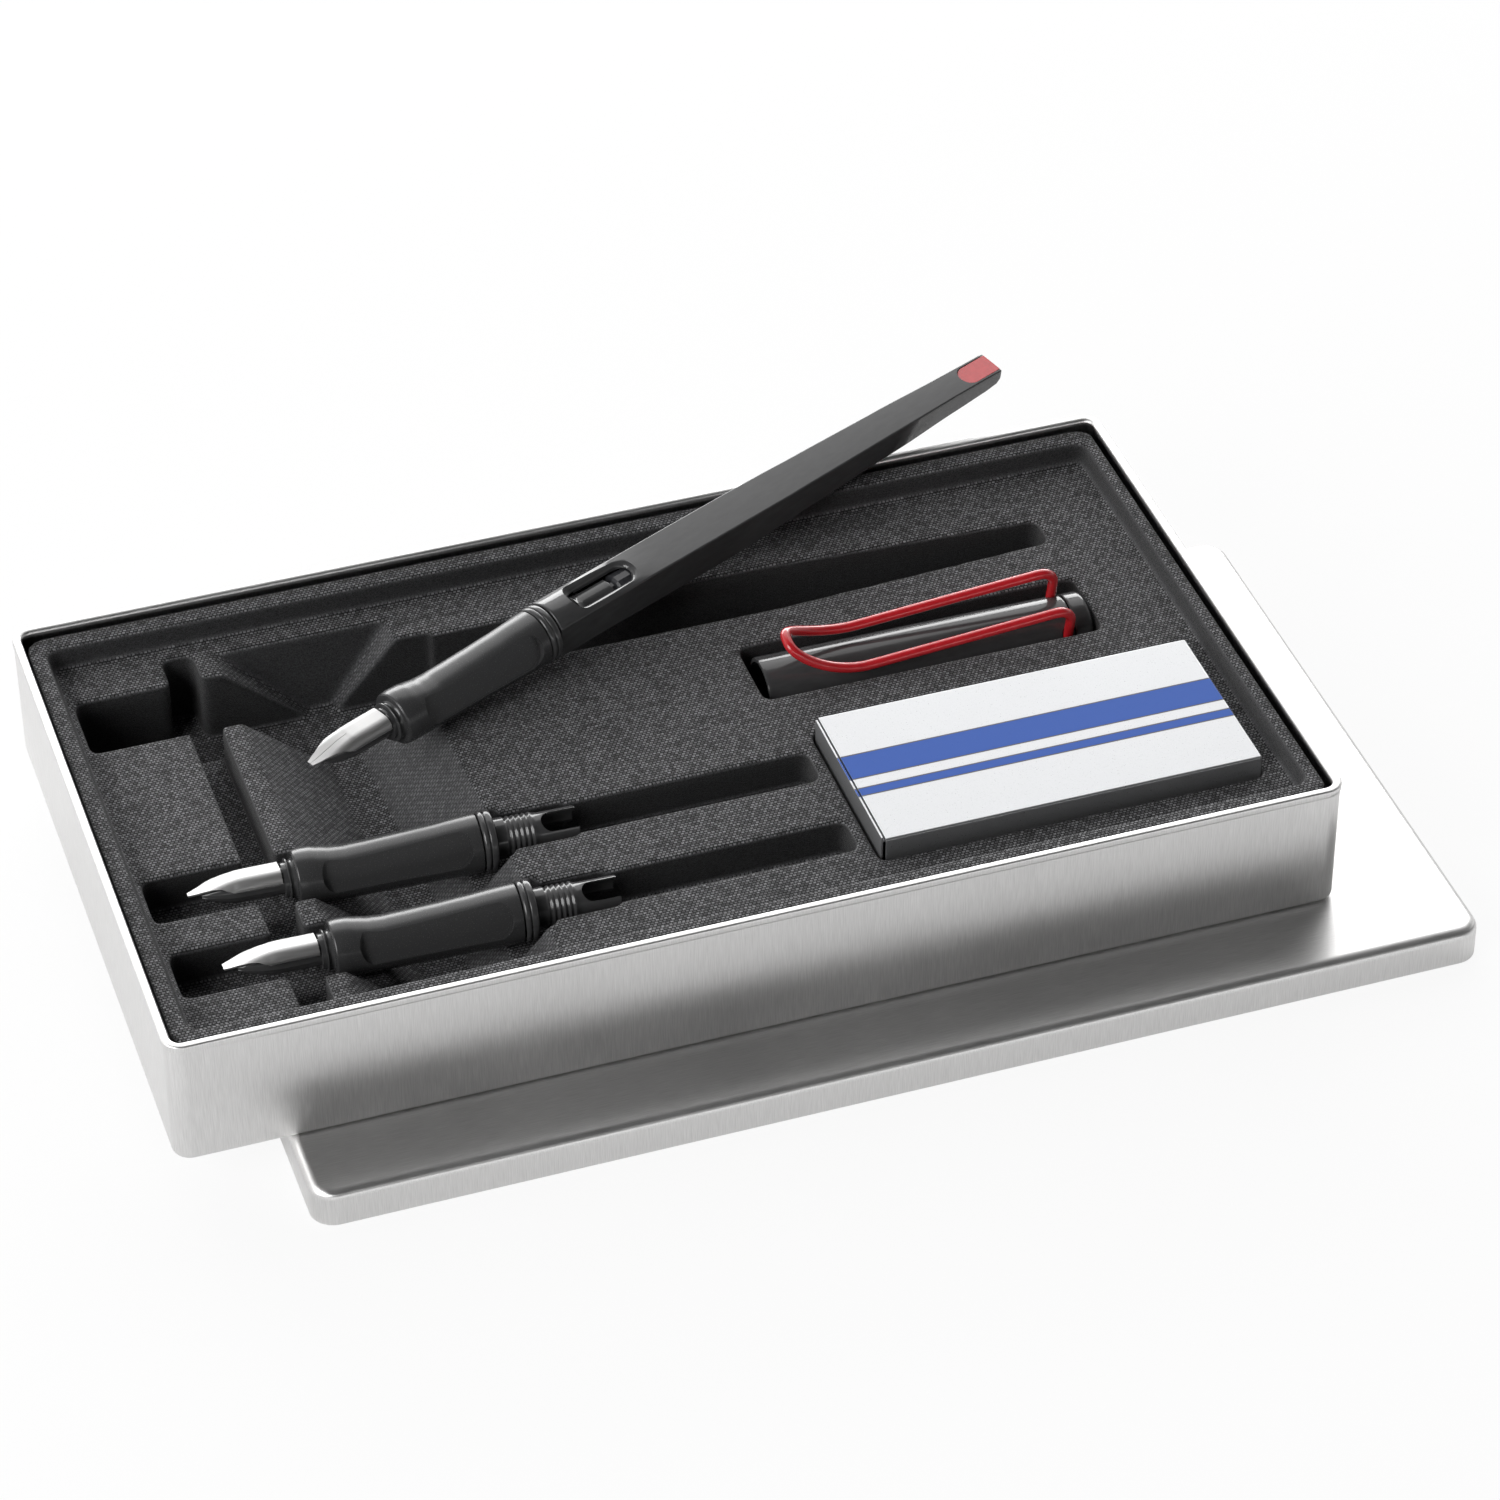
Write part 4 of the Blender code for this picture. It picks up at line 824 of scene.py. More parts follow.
# %% Grip
GRIP_START, GRIP_LENGTH, GRIP_RADIUS = 18.6 * MM, 32.6 * MM, 5.2 * MM
GRIP_SIDES, GRIP_STATIONS = 128, 60
GRIP_ROWS = (
    (0.0, 0.90, 0.90), (0.008, 0.955, 0.96), (0.046, 0.98, 1.0), (0.10, 0.97, 1.0), (0.163, 0.90, 1.0),
    (0.22, 0.83, 1.0), (0.286, 0.79, 1.0), (0.40, 0.81, 1.0), (0.55, 0.85, 1.0), (0.74, 0.91, 1.01),
    (0.90, 0.98, 1.02), (0.96, 1.0, 1.03), (1.0, 1.01, 1.03),
)
grip_shares = [0.003, 0.006, 0.010] + [step / GRIP_STATIONS for step in range(1, GRIP_STATIONS)]
grip = station_rod("grip_master", GRIP_START, GRIP_LENGTH, sorted(grip_shares), GRIP_SIDES)
for point in grip.data.vertices:
    share = (point.co.x - GRIP_START) / GRIP_LENGTH
    _, top, bottom = row_between(GRIP_ROWS, min(max(share, 0), 1))
    turn = math.atan2(-point.co.y, point.co.z)
    radius = GRIP_RADIUS * (bottom + (top - bottom) * max(math.cos(turn), 0))
    point.co.y = -radius * math.sin(turn)
    point.co.z = radius * math.cos(turn)

# %% [markdown]
# The grip is a shell over the collar and the core. Its two end faces are inset to the bore
# and pushed in a little, which is all that can be seen of the bore.

# %% Bore of the grip
BORE_ENDS = ((-1, 0.95 * MM, 1.6 * MM), (1, 1.75 * MM, -1.6 * MM))
reopened(grip)
for way, wall, depth in BORE_ENDS:
    pick("FACE", lambda face: face.normal.x * way > 0.99 and len(face.verts) > 40)
    bpy.ops.mesh.inset(thickness=wall)
    pushed(depth, 0, 0)
close_up()

# %% [markdown]
# Thumb and finger rest on two long flats with round ends. Each is cut by a block whose upright
# edges are rounded off. Where the block leaves the swelling of the grip, the flat gets the
# long curved outline that can be seen in the photo. A second, smaller block sinks its middle
# by a hair, which draws a fine line round it.

# %% Flats of the grip
FLAT_DISTANCE = 4.05 * MM
FLAT_TURN = math.radians(71)
FLAT_START, FLAT_END = 0.13, 0.95
FLAT_WIDTH = 7.2 * MM
FLAT_STEP = 0.13 * MM
FLAT_ROUND = 0.97
SHRINK_ALONG, SHRINK_ACROSS = 6, 8
BLOCK_HEIGHT = 4 * MM
flat_low = GRIP_START + GRIP_LENGTH * FLAT_START
flat_high = GRIP_START + GRIP_LENGTH * FLAT_END
for side, shrink in ((-1, 0), (1, 0), (-1, FLAT_STEP), (1, FLAT_STEP)):
    flat_middle = ((flat_low + flat_high) / 2, 0, FLAT_DISTANCE - shrink + BLOCK_HEIGHT / 2)
    flat_size = (flat_high - flat_low - SHRINK_ALONG * shrink,
                 FLAT_WIDTH - SHRINK_ACROSS * shrink, BLOCK_HEIGHT)
    flat_block = block("flat_block", flat_middle, flat_size)
    round_edges(upright, flat_size[1] / 2 * FLAT_ROUND, segments=14)
    pick_all()
    rolled(side * FLAT_TURN)
    close_up()
    carved(grip, flat_block)
smoothed(grip, 17)

# %% [markdown]
# ### The feed
# Under the nib lies the black feed, a round rod that is hollowed on top to fit the nib and
# thins towards the tip. A narrow rib runs along each side of it and catches the light.

# %% Feed
FEED_RADIUS, FEED_GAP = 2.35 * MM, 0.15 * MM
NIB_LENGTH, NIB_TOP, NIB_TIP_HEIGHT = 16.2 * MM, 2.95 * MM, 0.8 * MM
NIB_SHEET = 0.3 * MM
NIB_LINE = ((0.0, 0.0), (0.46, 0.86), (0.54, 0.95), (0.66, 0.985), (1.0, 1.0))
FEED_START, FEED_LENGTH = 2.4 * MM, 30.8 * MM
FEED_SIDES, FEED_STATIONS, FEED_SHAPED = 64, 40, 24
FEED_ROWS = (
    (0.0, 0.22), (0.06, 0.42), (0.14, 0.60), (0.28, 0.84), (0.42, 0.97), (0.5, 1.0), (1.0, 1.0),
)
RIB_HEIGHT, RIB_PLACE, RIB_SPREAD = 0.12 * MM, 10, 6
ROOF_SLOPE = 0.35


def nib_line(along):
    """Height of the nib's upper side above its axis, falling towards the tip."""
    share = min(max(along / NIB_LENGTH, 0), 1)
    return NIB_TIP_HEIGHT + (NIB_TOP - NIB_TIP_HEIGHT) * row_between(NIB_LINE, share)[1]


feed_shares = [step / FEED_STATIONS for step in range(1, FEED_SHAPED)]
feed = station_rod("feed_master", FEED_START, FEED_LENGTH, feed_shares, FEED_SIDES)
for point in feed.data.vertices:
    share = (point.co.x - FEED_START) / (NIB_LENGTH - FEED_START)
    size = row_between(FEED_ROWS, min(share, 1))[1] if share < 1 else 1
    turn = math.atan2(point.co.z, point.co.y)
    rib_at = 180 - RIB_PLACE if point.co.y > 0 else RIB_PLACE
    rib = RIB_HEIGHT * max(0, 1 - abs(math.degrees(turn) % 180 - rib_at) / RIB_SPREAD)
    radius = FEED_RADIUS * size + (rib if share < 1 else 0)
    point.co.y = radius * math.cos(turn)
    roof = nib_line(point.co.x) - NIB_SHEET - FEED_GAP - ROOF_SLOPE * abs(point.co.y)
    point.co.z = min(radius * math.sin(turn), roof)
reopened(feed)
close_up()
smoothed(feed, 35)

# %% [markdown]
# ### The nibs
# A nib is bent sheet steel with a flat top. At the root its sides wrap round the feed, and
# towards the tip they open out and the top falls. It starts as a fine grid, whose rows get
# the section of their station: how far it reaches along the sheet, how much of that is flat,
# and over what radius the rest is bent. Solidify gives the sheet its thickness, and last
# comes the slit that brings the ink.

# %% Nib
NIB_REACH = 4.2 * MM
NIB_ROWS = (
    (0.0, 0.0, 1.6, 3.0), (0.12, 0.17, 1.5, 2.7), (0.23, 0.35, 1.35, 2.3), (0.34, 0.54, 1.25, 2.0),
    (0.42, 0.80, 1.2, 1.9), (0.48, 0.95, 1.15, 1.85), (0.56, 1.0, 1.15, 1.85), (1.0, 1.0, 1.15, 1.85),
)
NIB_STEPS_ALONG, NIB_STEPS_ACROSS = 72, 32
SLIT_END, SLIT_WIDTH, SLIT_HEIGHT, SLIT_RISE = 8.3 * MM, 0.08 * MM, 6 * MM, 2 * MM
PEN_TIP, FINE_TIP, WIDE_TIP = 1.5 * MM, 1.1 * MM, 1.9 * MM


def nib(name, tip_width):
    """One nib with a broad tip of the given width."""
    clear_bench()
    bpy.ops.mesh.primitive_grid_add(x_subdivisions=NIB_STEPS_ALONG, y_subdivisions=NIB_STEPS_ACROSS, size=1)
    piece = fresh(name)
    bpy.ops.object.mode_set(mode="OBJECT")
    for point in piece.data.vertices:
        share = point.co.x + 0.5
        _, opened, flat, radius = row_between(NIB_ROWS, share)
        flat, radius = flat * MM, radius * MM
        reach = 2 * abs(point.co.y) * (tip_width / 2 + (NIB_REACH - tip_width / 2) * opened)
        bend = max(reach - flat, 0) / radius
        point.co.x = NIB_LENGTH * share
        point.co.y = math.copysign(min(reach, flat) + radius * math.sin(bend), point.co.y)
        point.co.z = radius * (math.cos(bend) - 1) + nib_line(point.co.x)
    modified(piece, "SOLIDIFY", thickness=NIB_SHEET, offset=-1)
    slit = block("slit", (SLIT_END / 2 - MM, 0, SLIT_RISE), (SLIT_END + 2 * MM, SLIT_WIDTH, SLIT_HEIGHT))
    close_up()
    carved(piece, slit)
    smoothed(piece, 30)
    return piece


pen_nib = nib("pen_nib_master", PEN_TIP)
fine_nib = nib("fine_nib_master", FINE_TIP)
wide_nib = nib("wide_nib_master", WIDE_TIP)

# %% [markdown]
# ### Three nib units in their places
# The pen's own unit leans with the pen. The two spare ones lie in their pockets, rolled a
# little. The poses repeat those of the CAD, and each nib rides on its own body, because it
# can be pulled off. In the pen, the thread has stopped with the fork's slot at the side.

# %% Place the nib units
PEN_POSE = pose_of((-0.073905, 0.005936, 0.031243), 0, math.asin(0.034656), math.radians(23.7))
SPARE_A_POSE = pose_of((-0.101523, -0.015089, 0.0255), math.radians(-12), 0, math.radians(-1.8))
SPARE_B_POSE = pose_of((-0.100323, -0.035289, 0.0255), math.radians(-12), 0, math.radians(-1.8))
PEN_FORK_TURN = math.radians(90)
UNITS = (
    ("pen", PEN_POSE, pen_nib, "pen_section", "pen_nib"),
    ("section_a", SPARE_A_POSE, fine_nib, "section_a", "section_a_nib"),
    ("section_b", SPARE_B_POSE, wide_nib, "section_b", "section_b_nib"),
)
UNIT_PARTS = (
    (feed, "feed", BLACK, "black_gloss"), (collar, "collar", BLACK, "black_gloss"),
    (grip, "grip", SATIN, "black_satin"), (ring, "ring", BLACK, "black_gloss"),
    (core, "core", BLACK, "black_gloss"),
)
for unit, pose, blade, body, nib_body in UNITS:
    finished(placed(blade, unit + "_nib_blade", pose), STEEL, nib_body, "nib_steel", unit + "_nib")
    for master, part, material, slot in UNIT_PARTS:
        own_turn = PEN_FORK_TURN if (unit, part) == ("pen", "core") else 0
        piece = placed(master, unit + "_" + part + "_piece", pose @ Matrix.Rotation(own_turn, 4, "X"))
        finished(piece, material, body, slot, unit + "_" + part)
discarded(pen_nib, fine_nib, wide_nib, feed, collar, grip, ring, core)

# %% [markdown]
# ## The barrel
# The barrel is the pen's signature: flat sides from the ring on, a top that starts round and
# flattens, and an underside that thins to the tail like a wedge. Its section is drawn by two
# shallow crowns and two straight sides, and its size comes from a table of stations.

# %% Barrel
BARREL_START, BARREL_LENGTH, BARREL_RADIUS = 54.2 * MM, 111.8 * MM, 5.6 * MM
BARREL_ROWS = (
    (0.0, 0.74, 0.655, 0.985, 0.655, 0.985), (0.005, 0.755, 0.655, 1.0, 0.655, 1.0),
    (0.045, 0.75, 0.66, 0.97, 0.66, 0.97), (0.115, 0.735, 0.67, 0.86, 0.67, 0.88),
    (0.170, 0.725, 0.675, 0.77, 0.69, 0.80), (0.228, 0.715, 0.69, 0.715, 0.71, 0.75),
    (0.367, 0.71, 0.685, 0.705, 0.70, 0.73), (0.410, 0.705, 0.68, 0.70, 0.69, 0.71),
    (0.496, 0.69, 0.66, 0.68, 0.59, 0.61), (0.560, 0.66, 0.65, 0.67, 0.52, 0.54),
    (0.763, 0.59, 0.63, 0.65, 0.34, 0.36), (0.892, 0.53, 0.59, 0.61, 0.19, 0.20),
    (0.965, 0.52, 0.56, 0.58, 0.09, 0.10), (0.990, 0.52, 0.55, 0.57, 0.0, 0.01),
    (1.0, 0.50, 0.53, 0.55, -0.16, -0.15),
)
CROWN_POINTS, SIDE_POINTS = 24, 4
BARREL_STATIONS, TAIL_STATIONS = 60, (0.965, 0.98, 0.99)


def barrel_outline(share):
    """Points round the barrel's section, from the top's right edge over the crown and down."""
    _, wide, side_top, crown, side_bottom, keel = row_between(BARREL_ROWS, share)
    outline = []
    for step in range(CROWN_POINTS):
        across = 1 - 2 * step / CROWN_POINTS
        outline.append((wide * across, side_top + (crown - side_top) * (1 - across * across)))
    for step in range(SIDE_POINTS):
        outline.append((-wide, side_top - (side_top + side_bottom) * step / SIDE_POINTS))
    for step in range(CROWN_POINTS):
        across = -1 + 2 * step / CROWN_POINTS
        outline.append((wide * across, -side_bottom - (keel - side_bottom) * (1 - across * across)))
    for step in range(SIDE_POINTS):
        outline.append((wide, -side_bottom + (side_top + side_bottom) * step / SIDE_POINTS))
    return [(y * BARREL_RADIUS, z * BARREL_RADIUS) for y, z in outline]


barrel_sides = 2 * (CROWN_POINTS + SIDE_POINTS)
barrel_shares = [0.0025, 0.005, *TAIL_STATIONS]
barrel_shares += [step / BARREL_STATIONS for step in range(1, BARREL_STATIONS - 2)]
barrel = station_rod("pen_barrel_piece", BARREL_START, BARREL_LENGTH, sorted(barrel_shares), barrel_sides)
for point in barrel.data.vertices:
    share = min(max((point.co.x - BARREL_START) / BARREL_LENGTH, 0), 1)
    index = round(math.atan2(point.co.z, point.co.y) / math.tau * barrel_sides) % barrel_sides
    point.co.y, point.co.z = barrel_outline(share)[index]
softened(barrel, width=0.38 * MM, segments=3, degrees=32)

# %% [markdown]
# ### Bore, ink window and end recess
# Three cutters shape the barrel. The bore takes thread and cartridge. The window is a
# stadium that flares at the surface, so that its rim shows as a bright line. The recess at
# the tail takes the red inlay.

# %% Cut the barrel
BORE_OUTLINE = mm((49, 0), (49, 3.9), (62.2, 3.9), (62.4, 3.5), (98.3, 3.5), (99.3, 1.7), (99.3, 0))
BORE_STEPS = 48
WINDOW_START, WINDOW_LENGTH, WINDOW_WIDTH = 60.1 * MM, 13.6 * MM, 4.2 * MM
WINDOW_DEPTH = 3 * MM
STADIUM = 0.98
WINDOW_FLARE = mm((0.12, 0.45), (0.22, 0.35), (0.34, 0.25), (0.30, 0.12))

bore = turned("bore", BORE_OUTLINE, BORE_STEPS)
carved(barrel, bore)
window_middle = (WINDOW_START + WINDOW_LENGTH / 2, 0, WINDOW_DEPTH / 2)
window = block("ink_window", window_middle, (WINDOW_LENGTH, WINDOW_WIDTH, WINDOW_DEPTH))
round_edges(upright, WINDOW_WIDTH / 2 * STADIUM, segments=14)
for outset, rise in WINDOW_FLARE:
    pick_end(1)
    pushed(0, 0, rise)
    grow = (1 + 2 * outset / WINDOW_LENGTH, 1 + 2 * outset / WINDOW_WIDTH, 1)
    bpy.ops.transform.resize(value=grow, center_override=window_middle)
pick_end(1)
pushed(0, 0, WINDOW_DEPTH)
close_up()
carved(barrel, window)

# %% [markdown]
# ### The red inlay
# A thin plate with a round inner end lies in the recess, flush with the top face.

# %% End inlay
INLAY_LENGTH, INLAY_HALF, INLAY_THICKNESS = 8.3 * MM, 2.3 * MM, 0.8 * MM
RECESS_HALF, RECESS_PLAY = 2.4 * MM, 0.1 * MM
CUT_RISE, CUT_OVERRUN = 2 * MM, 5 * MM
BARREL_END = BARREL_START + BARREL_LENGTH
inlay_top = 0.55 * BARREL_RADIUS


def inlay_block(name, length, half, low, high, overrun):
    """A plate at the barrel's tail whose inner end is round."""
    middle = (BARREL_END - length / 2 + overrun / 2, 0, (low + high) / 2)
    piece = block(name, middle, (length + overrun, 2 * half, high - low))
    inner = BARREL_END - length
    round_edges(lambda edge: upright(edge, 0.1 * MM) and edge.verts[0].co.x < inner + MM,
                half * STADIUM, segments=12)
    close_up()
    return piece


recess = inlay_block("inlay_recess", INLAY_LENGTH + RECESS_PLAY, RECESS_HALF,
                     inlay_top - INLAY_THICKNESS - RECESS_PLAY, inlay_top + CUT_RISE, CUT_OVERRUN)
carved(barrel, recess)
smoothed(barrel, 32)
inlay = inlay_block("pen_end_inlay", INLAY_LENGTH, INLAY_HALF,
                    inlay_top - INLAY_THICKNESS, inlay_top, -RECESS_PLAY)
softened(inlay, width=0.08 * MM, segments=2, degrees=50)
smoothed(inlay, 30)

BARREL_ROLL = math.radians(10)
BARREL_POSE = PEN_POSE @ Euler((BARREL_ROLL, 0, 0)).to_matrix().to_4x4()
finished(placed(barrel, "pen_barrel_shell", BARREL_POSE), BLACK, "pen_barrel", "black_gloss", "pen_barrel")
finished(placed(inlay, "pen_red_inlay", BARREL_POSE), RED, "pen_barrel", "red", "pen_end_plug")
discarded(barrel, inlay)

# %% [markdown]
# ## The cap
# The cap lies in its own pocket with the mouth to the left. Its shell, the grey liner inside
# and the crown at the closed end are all turned. Two blind holes near the crown take the
# ends of the clip.

# %% Cap shell, crown and liner
HOLE_ALONG, HOLE_SIDE, HOLE_HEIGHT = 57.4, 4.67, 7.15
HOLE_RADIUS, HOLE_DEPTH = 1.1 * MM, 8.5 * MM
cap_shell = turned("cap_shell_master", mm(
    (0.0, 5.7), (0.0, 6.15), (0.08, 6.36), (0.3, 6.47), (0.6, 6.5), (29.0, 6.5), (58.3, 6.36),
    (58.62, 6.3), (58.8, 6.1), (58.8, 2.0), (55.8, 2.0), (55.8, 5.7), (0.0, 5.7)))
for side in (-1, 1):
    clear_bench()
    hole_at = (HOLE_ALONG * MM, side * HOLE_SIDE * MM, HOLE_HEIGHT * MM)
    bpy.ops.mesh.primitive_cylinder_add(vertices=32, radius=HOLE_RADIUS, depth=HOLE_DEPTH,
                                        location=hole_at)
    hole = fresh("clip_hole")
    close_up()
    carved(cap_shell, hole)
softened(cap_shell, width=0.07 * MM, segments=2, degrees=60)
smoothed(cap_shell, 40)

crown = turned("cap_crown_master", mm(
    (56.5, 0), (56.5, 1.7), (59.1, 1.7), (59.1, 6.0), (59.16, 6.2), (59.34, 6.33),
    (59.6, 6.35), (61.6, 6.35), (62.05, 6.28), (62.4, 6.05), (62.62, 5.7), (62.7, 5.2),
    (62.7, 3.6), (62.5, 3.3), (62.35, 2.6), (62.3, 0)))
smoothed(crown, 40)
liner = turned("cap_liner_master", mm(
    (38.0, 4.8), (38.0, 5.3), (38.1, 5.4), (55.5, 5.4), (55.5, 2.7), (54.5, 2.7), (54.5, 4.8), (38.0, 4.8)))
smoothed(liner, 40)

CAP_POSE = pose_of((0.01105, 0.011718, 0.0218), math.radians(14), 0, 0)
finished(placed(cap_shell, "cap_shell", CAP_POSE), BLACK, "cap", "black_gloss", "cap_body")
finished(placed(crown, "cap_crown", CAP_POSE), BLACK, "cap", "black_gloss", "cap_finial")
finished(placed(liner, "cap_inner_liner", CAP_POSE), LINER, "cap", "grey_plastic", "cap_liner")
discarded(cap_shell, crown, liner)

# %% [markdown]
# ### The wire clip
# The clip is one loop of round wire. It rises out of one hole, runs forward and down to a
# waist that grips the pocket, and turns up in a round loop. A curve with a round bevel is
# bent wire already, and it is turned into a mesh once its shape is right.

# %% Clip
WIRE_RADIUS = 0.95 * MM
WIRE_FOOT = (3.2, 5.5, 7.6)
ELBOW_STEPS, LEG_STEPS, LOOP_STEPS = 7, 8, 20
ELBOW_HEIGHT, ELBOW_REACH, ELBOW_RISE = 8.2, 3.0, 3.2
WAIST_ALONG, WAIST_HEIGHT = 18.3, 7.7
LOOP_REACH, LOOP_RISE, LOOP_ROUND = 14.3, 5.9, 0.62


def clip_points():
    """Points in mm along one leg of the clip, from its hole to the middle of the loop."""
    points = [Vector((HOLE_ALONG, HOLE_SIDE, height)) for height in WIRE_FOOT]
    for step in range(1, ELBOW_STEPS + 1):
        turn = math.tau / 4 * step / ELBOW_STEPS
        along = HOLE_ALONG - ELBOW_REACH * (1 - math.cos(turn))
        points.append(Vector((along, HOLE_SIDE, ELBOW_HEIGHT + ELBOW_RISE * math.sin(turn))))
    start, waist = points[-1].copy(), Vector((WAIST_ALONG, HOLE_SIDE, WAIST_HEIGHT))
    points += [start.lerp(waist, step / LEG_STEPS) for step in range(1, LEG_STEPS)]
    for step in range(LOOP_STEPS + 1):
        turn = math.tau / 4 * step / LOOP_STEPS
        side = HOLE_SIDE * max(math.cos(turn), 0) ** LOOP_ROUND
        rise = LOOP_RISE * math.sin(turn) ** 2
        points.append(Vector((WAIST_ALONG - LOOP_REACH * math.sin(turn), side, WAIST_HEIGHT + rise)))
    return points


leg = clip_points()
path = leg + [Vector((p.x, -p.y, p.z)) for p in reversed(leg[:-1])]
clear_bench()
bpy.ops.curve.primitive_nurbs_path_add()
clip = bpy.context.active_object
clip.name = "cap_clip_master"
clip.data.splines.clear()
spline = clip.data.splines.new("NURBS")
spline.points.add(len(path) - 1)
for point, place in zip(spline.points, path):
    point.co = (*(place * MM), 1)
spline.order_u = 4
spline.use_endpoint_u = True
clip.data.resolution_u = 4
clip.data.bevel_depth = WIRE_RADIUS
clip.data.bevel_resolution = 6
clip.data.use_fill_caps = True
alone(clip)
bpy.ops.object.convert(target="MESH")
clip = bpy.context.active_object
reopened(clip)
close_up()
alone(clip)
bpy.ops.object.shade_smooth_by_angle(angle=math.radians(50))
finished(placed(clip, "cap_wire_clip", CAP_POSE), RED, "cap_clip", "red", "cap_clip")
discarded(clip)

# %% [markdown]
# ## The carton
# The carton is a sleeve of thin board with rounded folds. Its left end is closed by a flap
# that tucks in under the top, which shows as a double line along that edge.

# %% Carton sleeve
BOARD = 0.4 * MM
FOLD_RADIUS, END_FOLD_RADIUS = 0.45 * MM, 0.35 * MM
sleeve = block("card_sleeve", (CARTON_LOW + CARTON_HIGH) / 2, CARTON_HIGH - CARTON_LOW)
round_edges(lambda edge: abs(edge.verts[0].co.x - edge.verts[1].co.x) > MM, FOLD_RADIUS, segments=4)
right_end = CARTON_HIGH.x - 0.01 * MM
round_edges(lambda edge: all(v.co.x > right_end for v in edge.verts), END_FOLD_RADIUS, segments=3)
close_up()
hollow_low = CARTON_LOW + Vector((-CUT_OVERRUN, BOARD, BOARD))
hollow_high = CARTON_HIGH - Vector((BOARD, BOARD, BOARD))
sleeve_hollow = block("sleeve_hollow", (hollow_low + hollow_high) / 2, hollow_high - hollow_low)
close_up()
carved(sleeve, sleeve_hollow)
softened(sleeve, width=0.06 * MM, segments=2, degrees=50)
smoothed(sleeve, 30)
finished(sleeve, CARD, "carton", "card", "carton_sleeve")

# %% Carton flap
TUCK_PLAY = 0.3 * MM
flap_low, flap_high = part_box("carton_flap")
panel_high = Vector((flap_low.x + BOARD, flap_high.y, flap_high.z))
flap = block("card_flap", (flap_low + panel_high) / 2, panel_high - flap_low)
tuck_top = flap_high.z - BOARD - TUCK_PLAY
for height in (tuck_top, tuck_top - BOARD):
    pick_all()
    bpy.ops.mesh.bisect(plane_co=(0, 0, height), plane_no=(0, 0, 1))
pick("FACE", lambda face: face.normal.x > 0.9
     and tuck_top - BOARD < face.calc_center_median().z < tuck_top)
pushed(flap_high.x - panel_high.x, 0, 0)
close_up()
softened(flap, width=0.12 * MM, segments=3, degrees=50)
smoothed(flap, 30)
finished(flap, CARD, "carton", "card", "carton_flap")

# %% [markdown]
# ## The cartridges
# The cartridges stay as the CAD made them: they are seen only through the ink window or when
# the carton is open, and they get a dark plastic.

# %% Cartridges
for name, cad_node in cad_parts.items():
    if "cartridge" in name:
        cad_node.data.materials.clear()
        cad_node.data.materials.append(INK)

# %% [markdown]
# ## Floor and light
# The floor is a plain white sheet. It shows itself nearly white to the camera, and still takes
# the soft shadow of the box; in a mirror it looks half as bright. A low bright lamp behind
# draws the highlights along the plastic, a softer one above it lights the cloth, one at the
# left lifts that side, and a faint strip in front lifts the skirt. The room over the camera
# is dim, as in a studio, and only its horizon is light.

# %% Floor
FLOOR_SIZE, FLOOR_DROP = 8, 0.2 * MM
FLOOR_IN_MIRRORS, FLOOR_GLOW = 0.45, 0.9
clear_bench()
bpy.ops.mesh.primitive_plane_add(size=FLOOR_SIZE, location=(0, 0, -FLOOR_DROP))
floor = bpy.context.active_object
floor.name = "floor"
FLOOR = finish("white_floor", (0.86, 0.86, 0.86), 0.9, Specular_IOR_Level=0.1)
floor_nodes = FLOOR.node_tree.nodes
glow = node(FLOOR, "ShaderNodeEmission", Strength=1.0)
light_path = node(FLOOR, "ShaderNodeLightPath")
mirrored = computed(FLOOR, "MULTIPLY", (light_path, "Is Glossy Ray"), FLOOR_IN_MIRRORS)
seen = computed(FLOOR, "MAXIMUM", (light_path, "Is Camera Ray"), (light_path, "Is Transmission Ray"))
either = computed(FLOOR, "MAXIMUM", (seen, 0), (mirrored, 0))
portion = computed(FLOOR, "MULTIPLY", (either, 0), FLOOR_GLOW)
blend = node(FLOOR, "ShaderNodeMixShader")
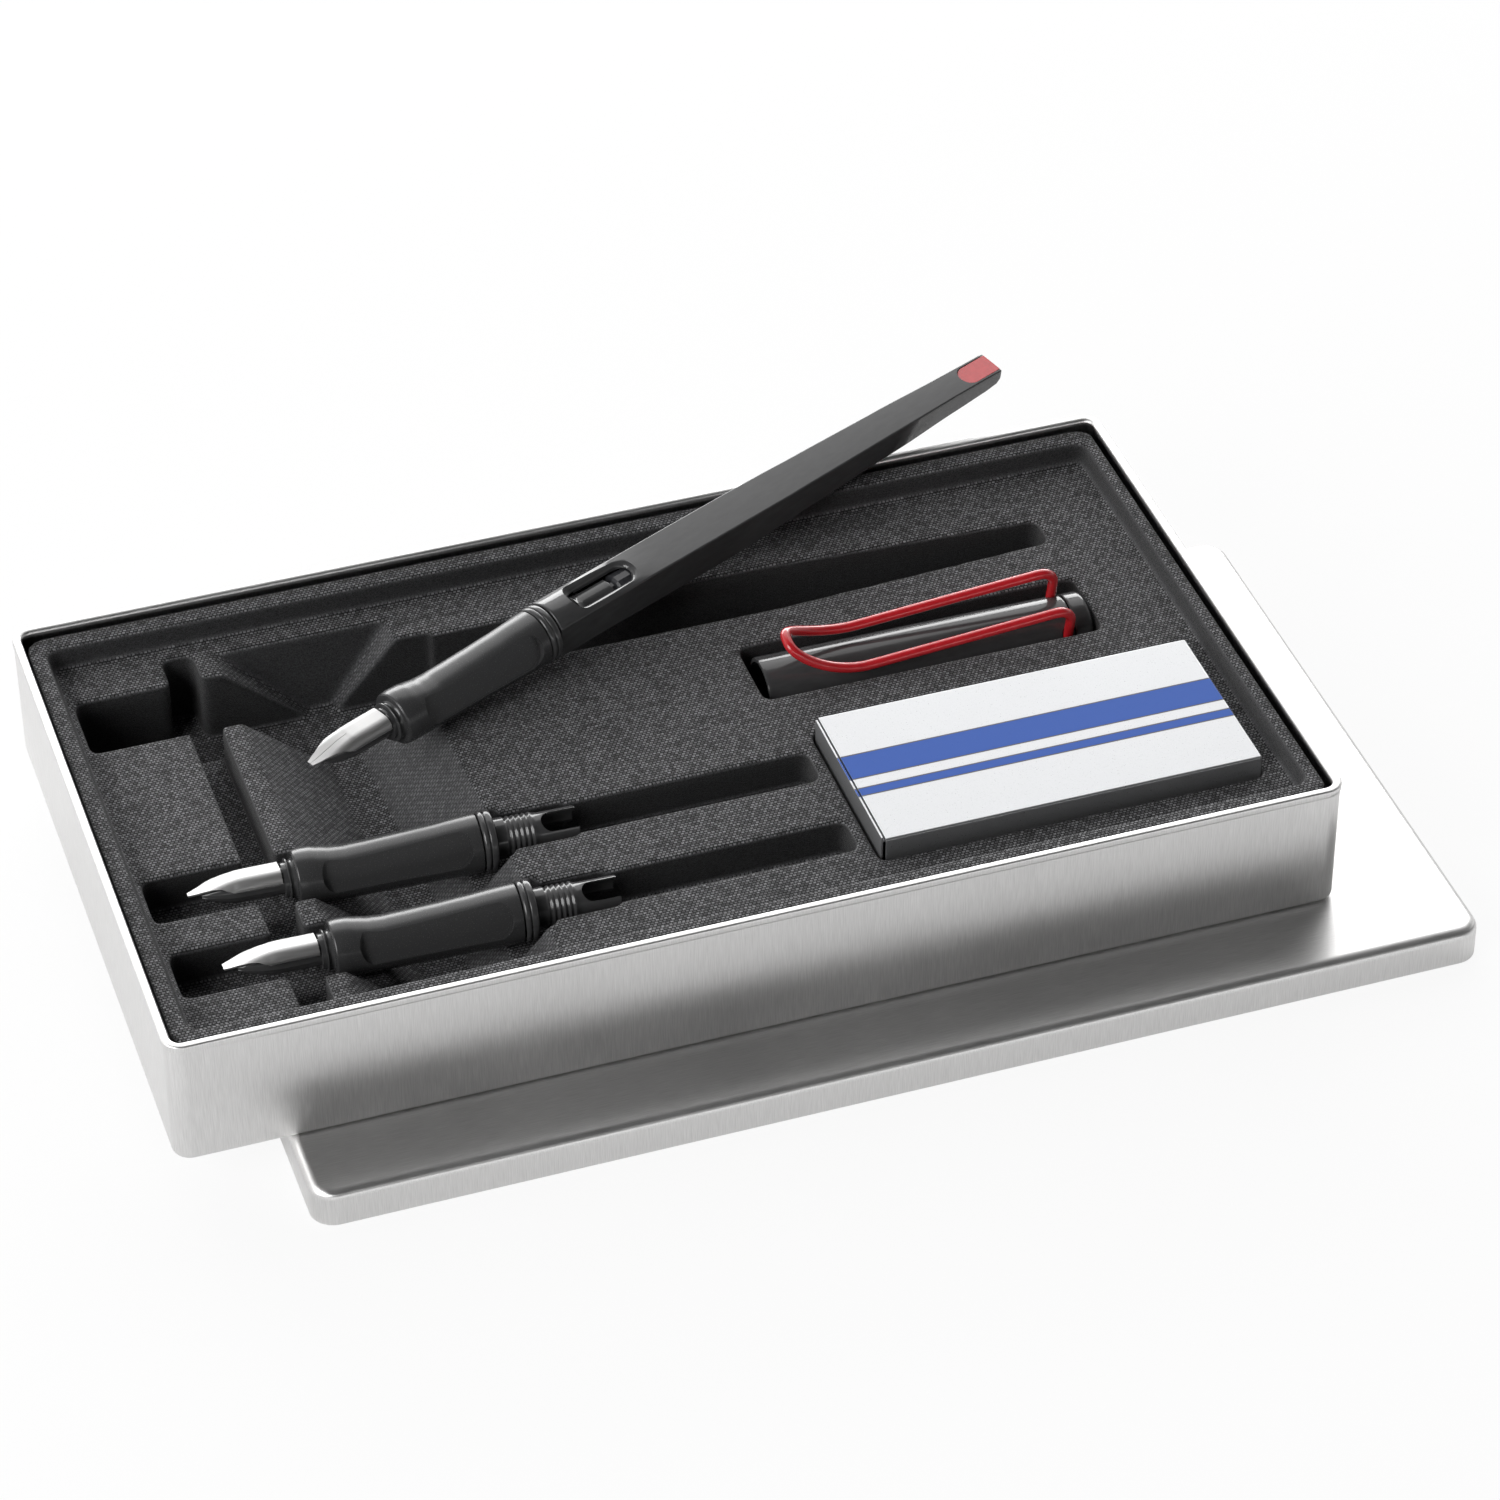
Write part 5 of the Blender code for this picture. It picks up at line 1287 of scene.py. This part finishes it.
link(FLOOR, portion, 0, blend, 0)
link(FLOOR, floor_nodes["Principled BSDF"], "BSDF", blend, 1)
link(FLOOR, glow, "Emission", blend, 2)
link(FLOOR, blend, "Shader", floor_nodes["Material Output"], "Surface")
floor.data.materials.append(FLOOR)

# %% Lamps
def soft_lamp(name, place, target, size, power):
    """A soft lamp, as wide and high as its size says, that faces a point."""
    data = bpy.data.lights.new(name, "AREA")
    data.shape = "RECTANGLE"
    data.size, data.size_y = size
    data.energy = power
    lamp = bpy.data.objects.new(name, data)
    bpy.context.scene.collection.objects.link(lamp)
    lamp.location = place
    lamp.rotation_euler = (Vector(target) - Vector(place)).to_track_quat("-Z", "Y").to_euler()


soft_lamp("back_softbox", (0.20, 0.80, 1.00), (0, 0, 0), (1.5, 0.8), 5.0)
soft_lamp("back_strip", (0.20, 1.15, 0.36), (0, 0, 0), (1.8, 0.50), 17.0)
soft_lamp("front_strip", (-0.15, -1.30, 0.22), (0, 0, 0), (1.6, 0.2), 1.5)
soft_lamp("left_softbox", (-0.72, -0.35, 0.48), (-0.08, -0.05, 0), (0.5, 0.5), 5.0)

# %% World
OVER_CAMERA = (0.05, -0.76, 0.65)
world = bpy.data.worlds.new("studio")
bpy.context.scene.world = world
world.use_nodes = True
direction = node(world, "ShaderNodeTexCoord")
towards = node(world, "ShaderNodeVectorMath", operation="DOT_PRODUCT")
towards.inputs[1].default_value = OVER_CAMERA
link(world, direction, "Generated", towards, 0)
dim = spread(world, towards, 1.05, 0.03, -0.3, 0.6, output="Value")
horizon = spread(world, parted(world, direction, "Generated"), 0.6, 0.0, 0.10, 0.32, output="Z")
light = computed(world, "MAXIMUM", (dim, "Result"), (horizon, "Result"))
light_path = node(world, "ShaderNodeLightPath")
shown = mixed(world, "FLOAT", (light_path, "Is Camera Ray"), (light, 0), 1.0)
background = world.node_tree.nodes["Background"]
background.inputs["Color"].default_value = (1, 1, 1, 1)
link(world, shown, 0, background, "Strength")
bpy.context.scene.view_settings.view_transform = "Standard"
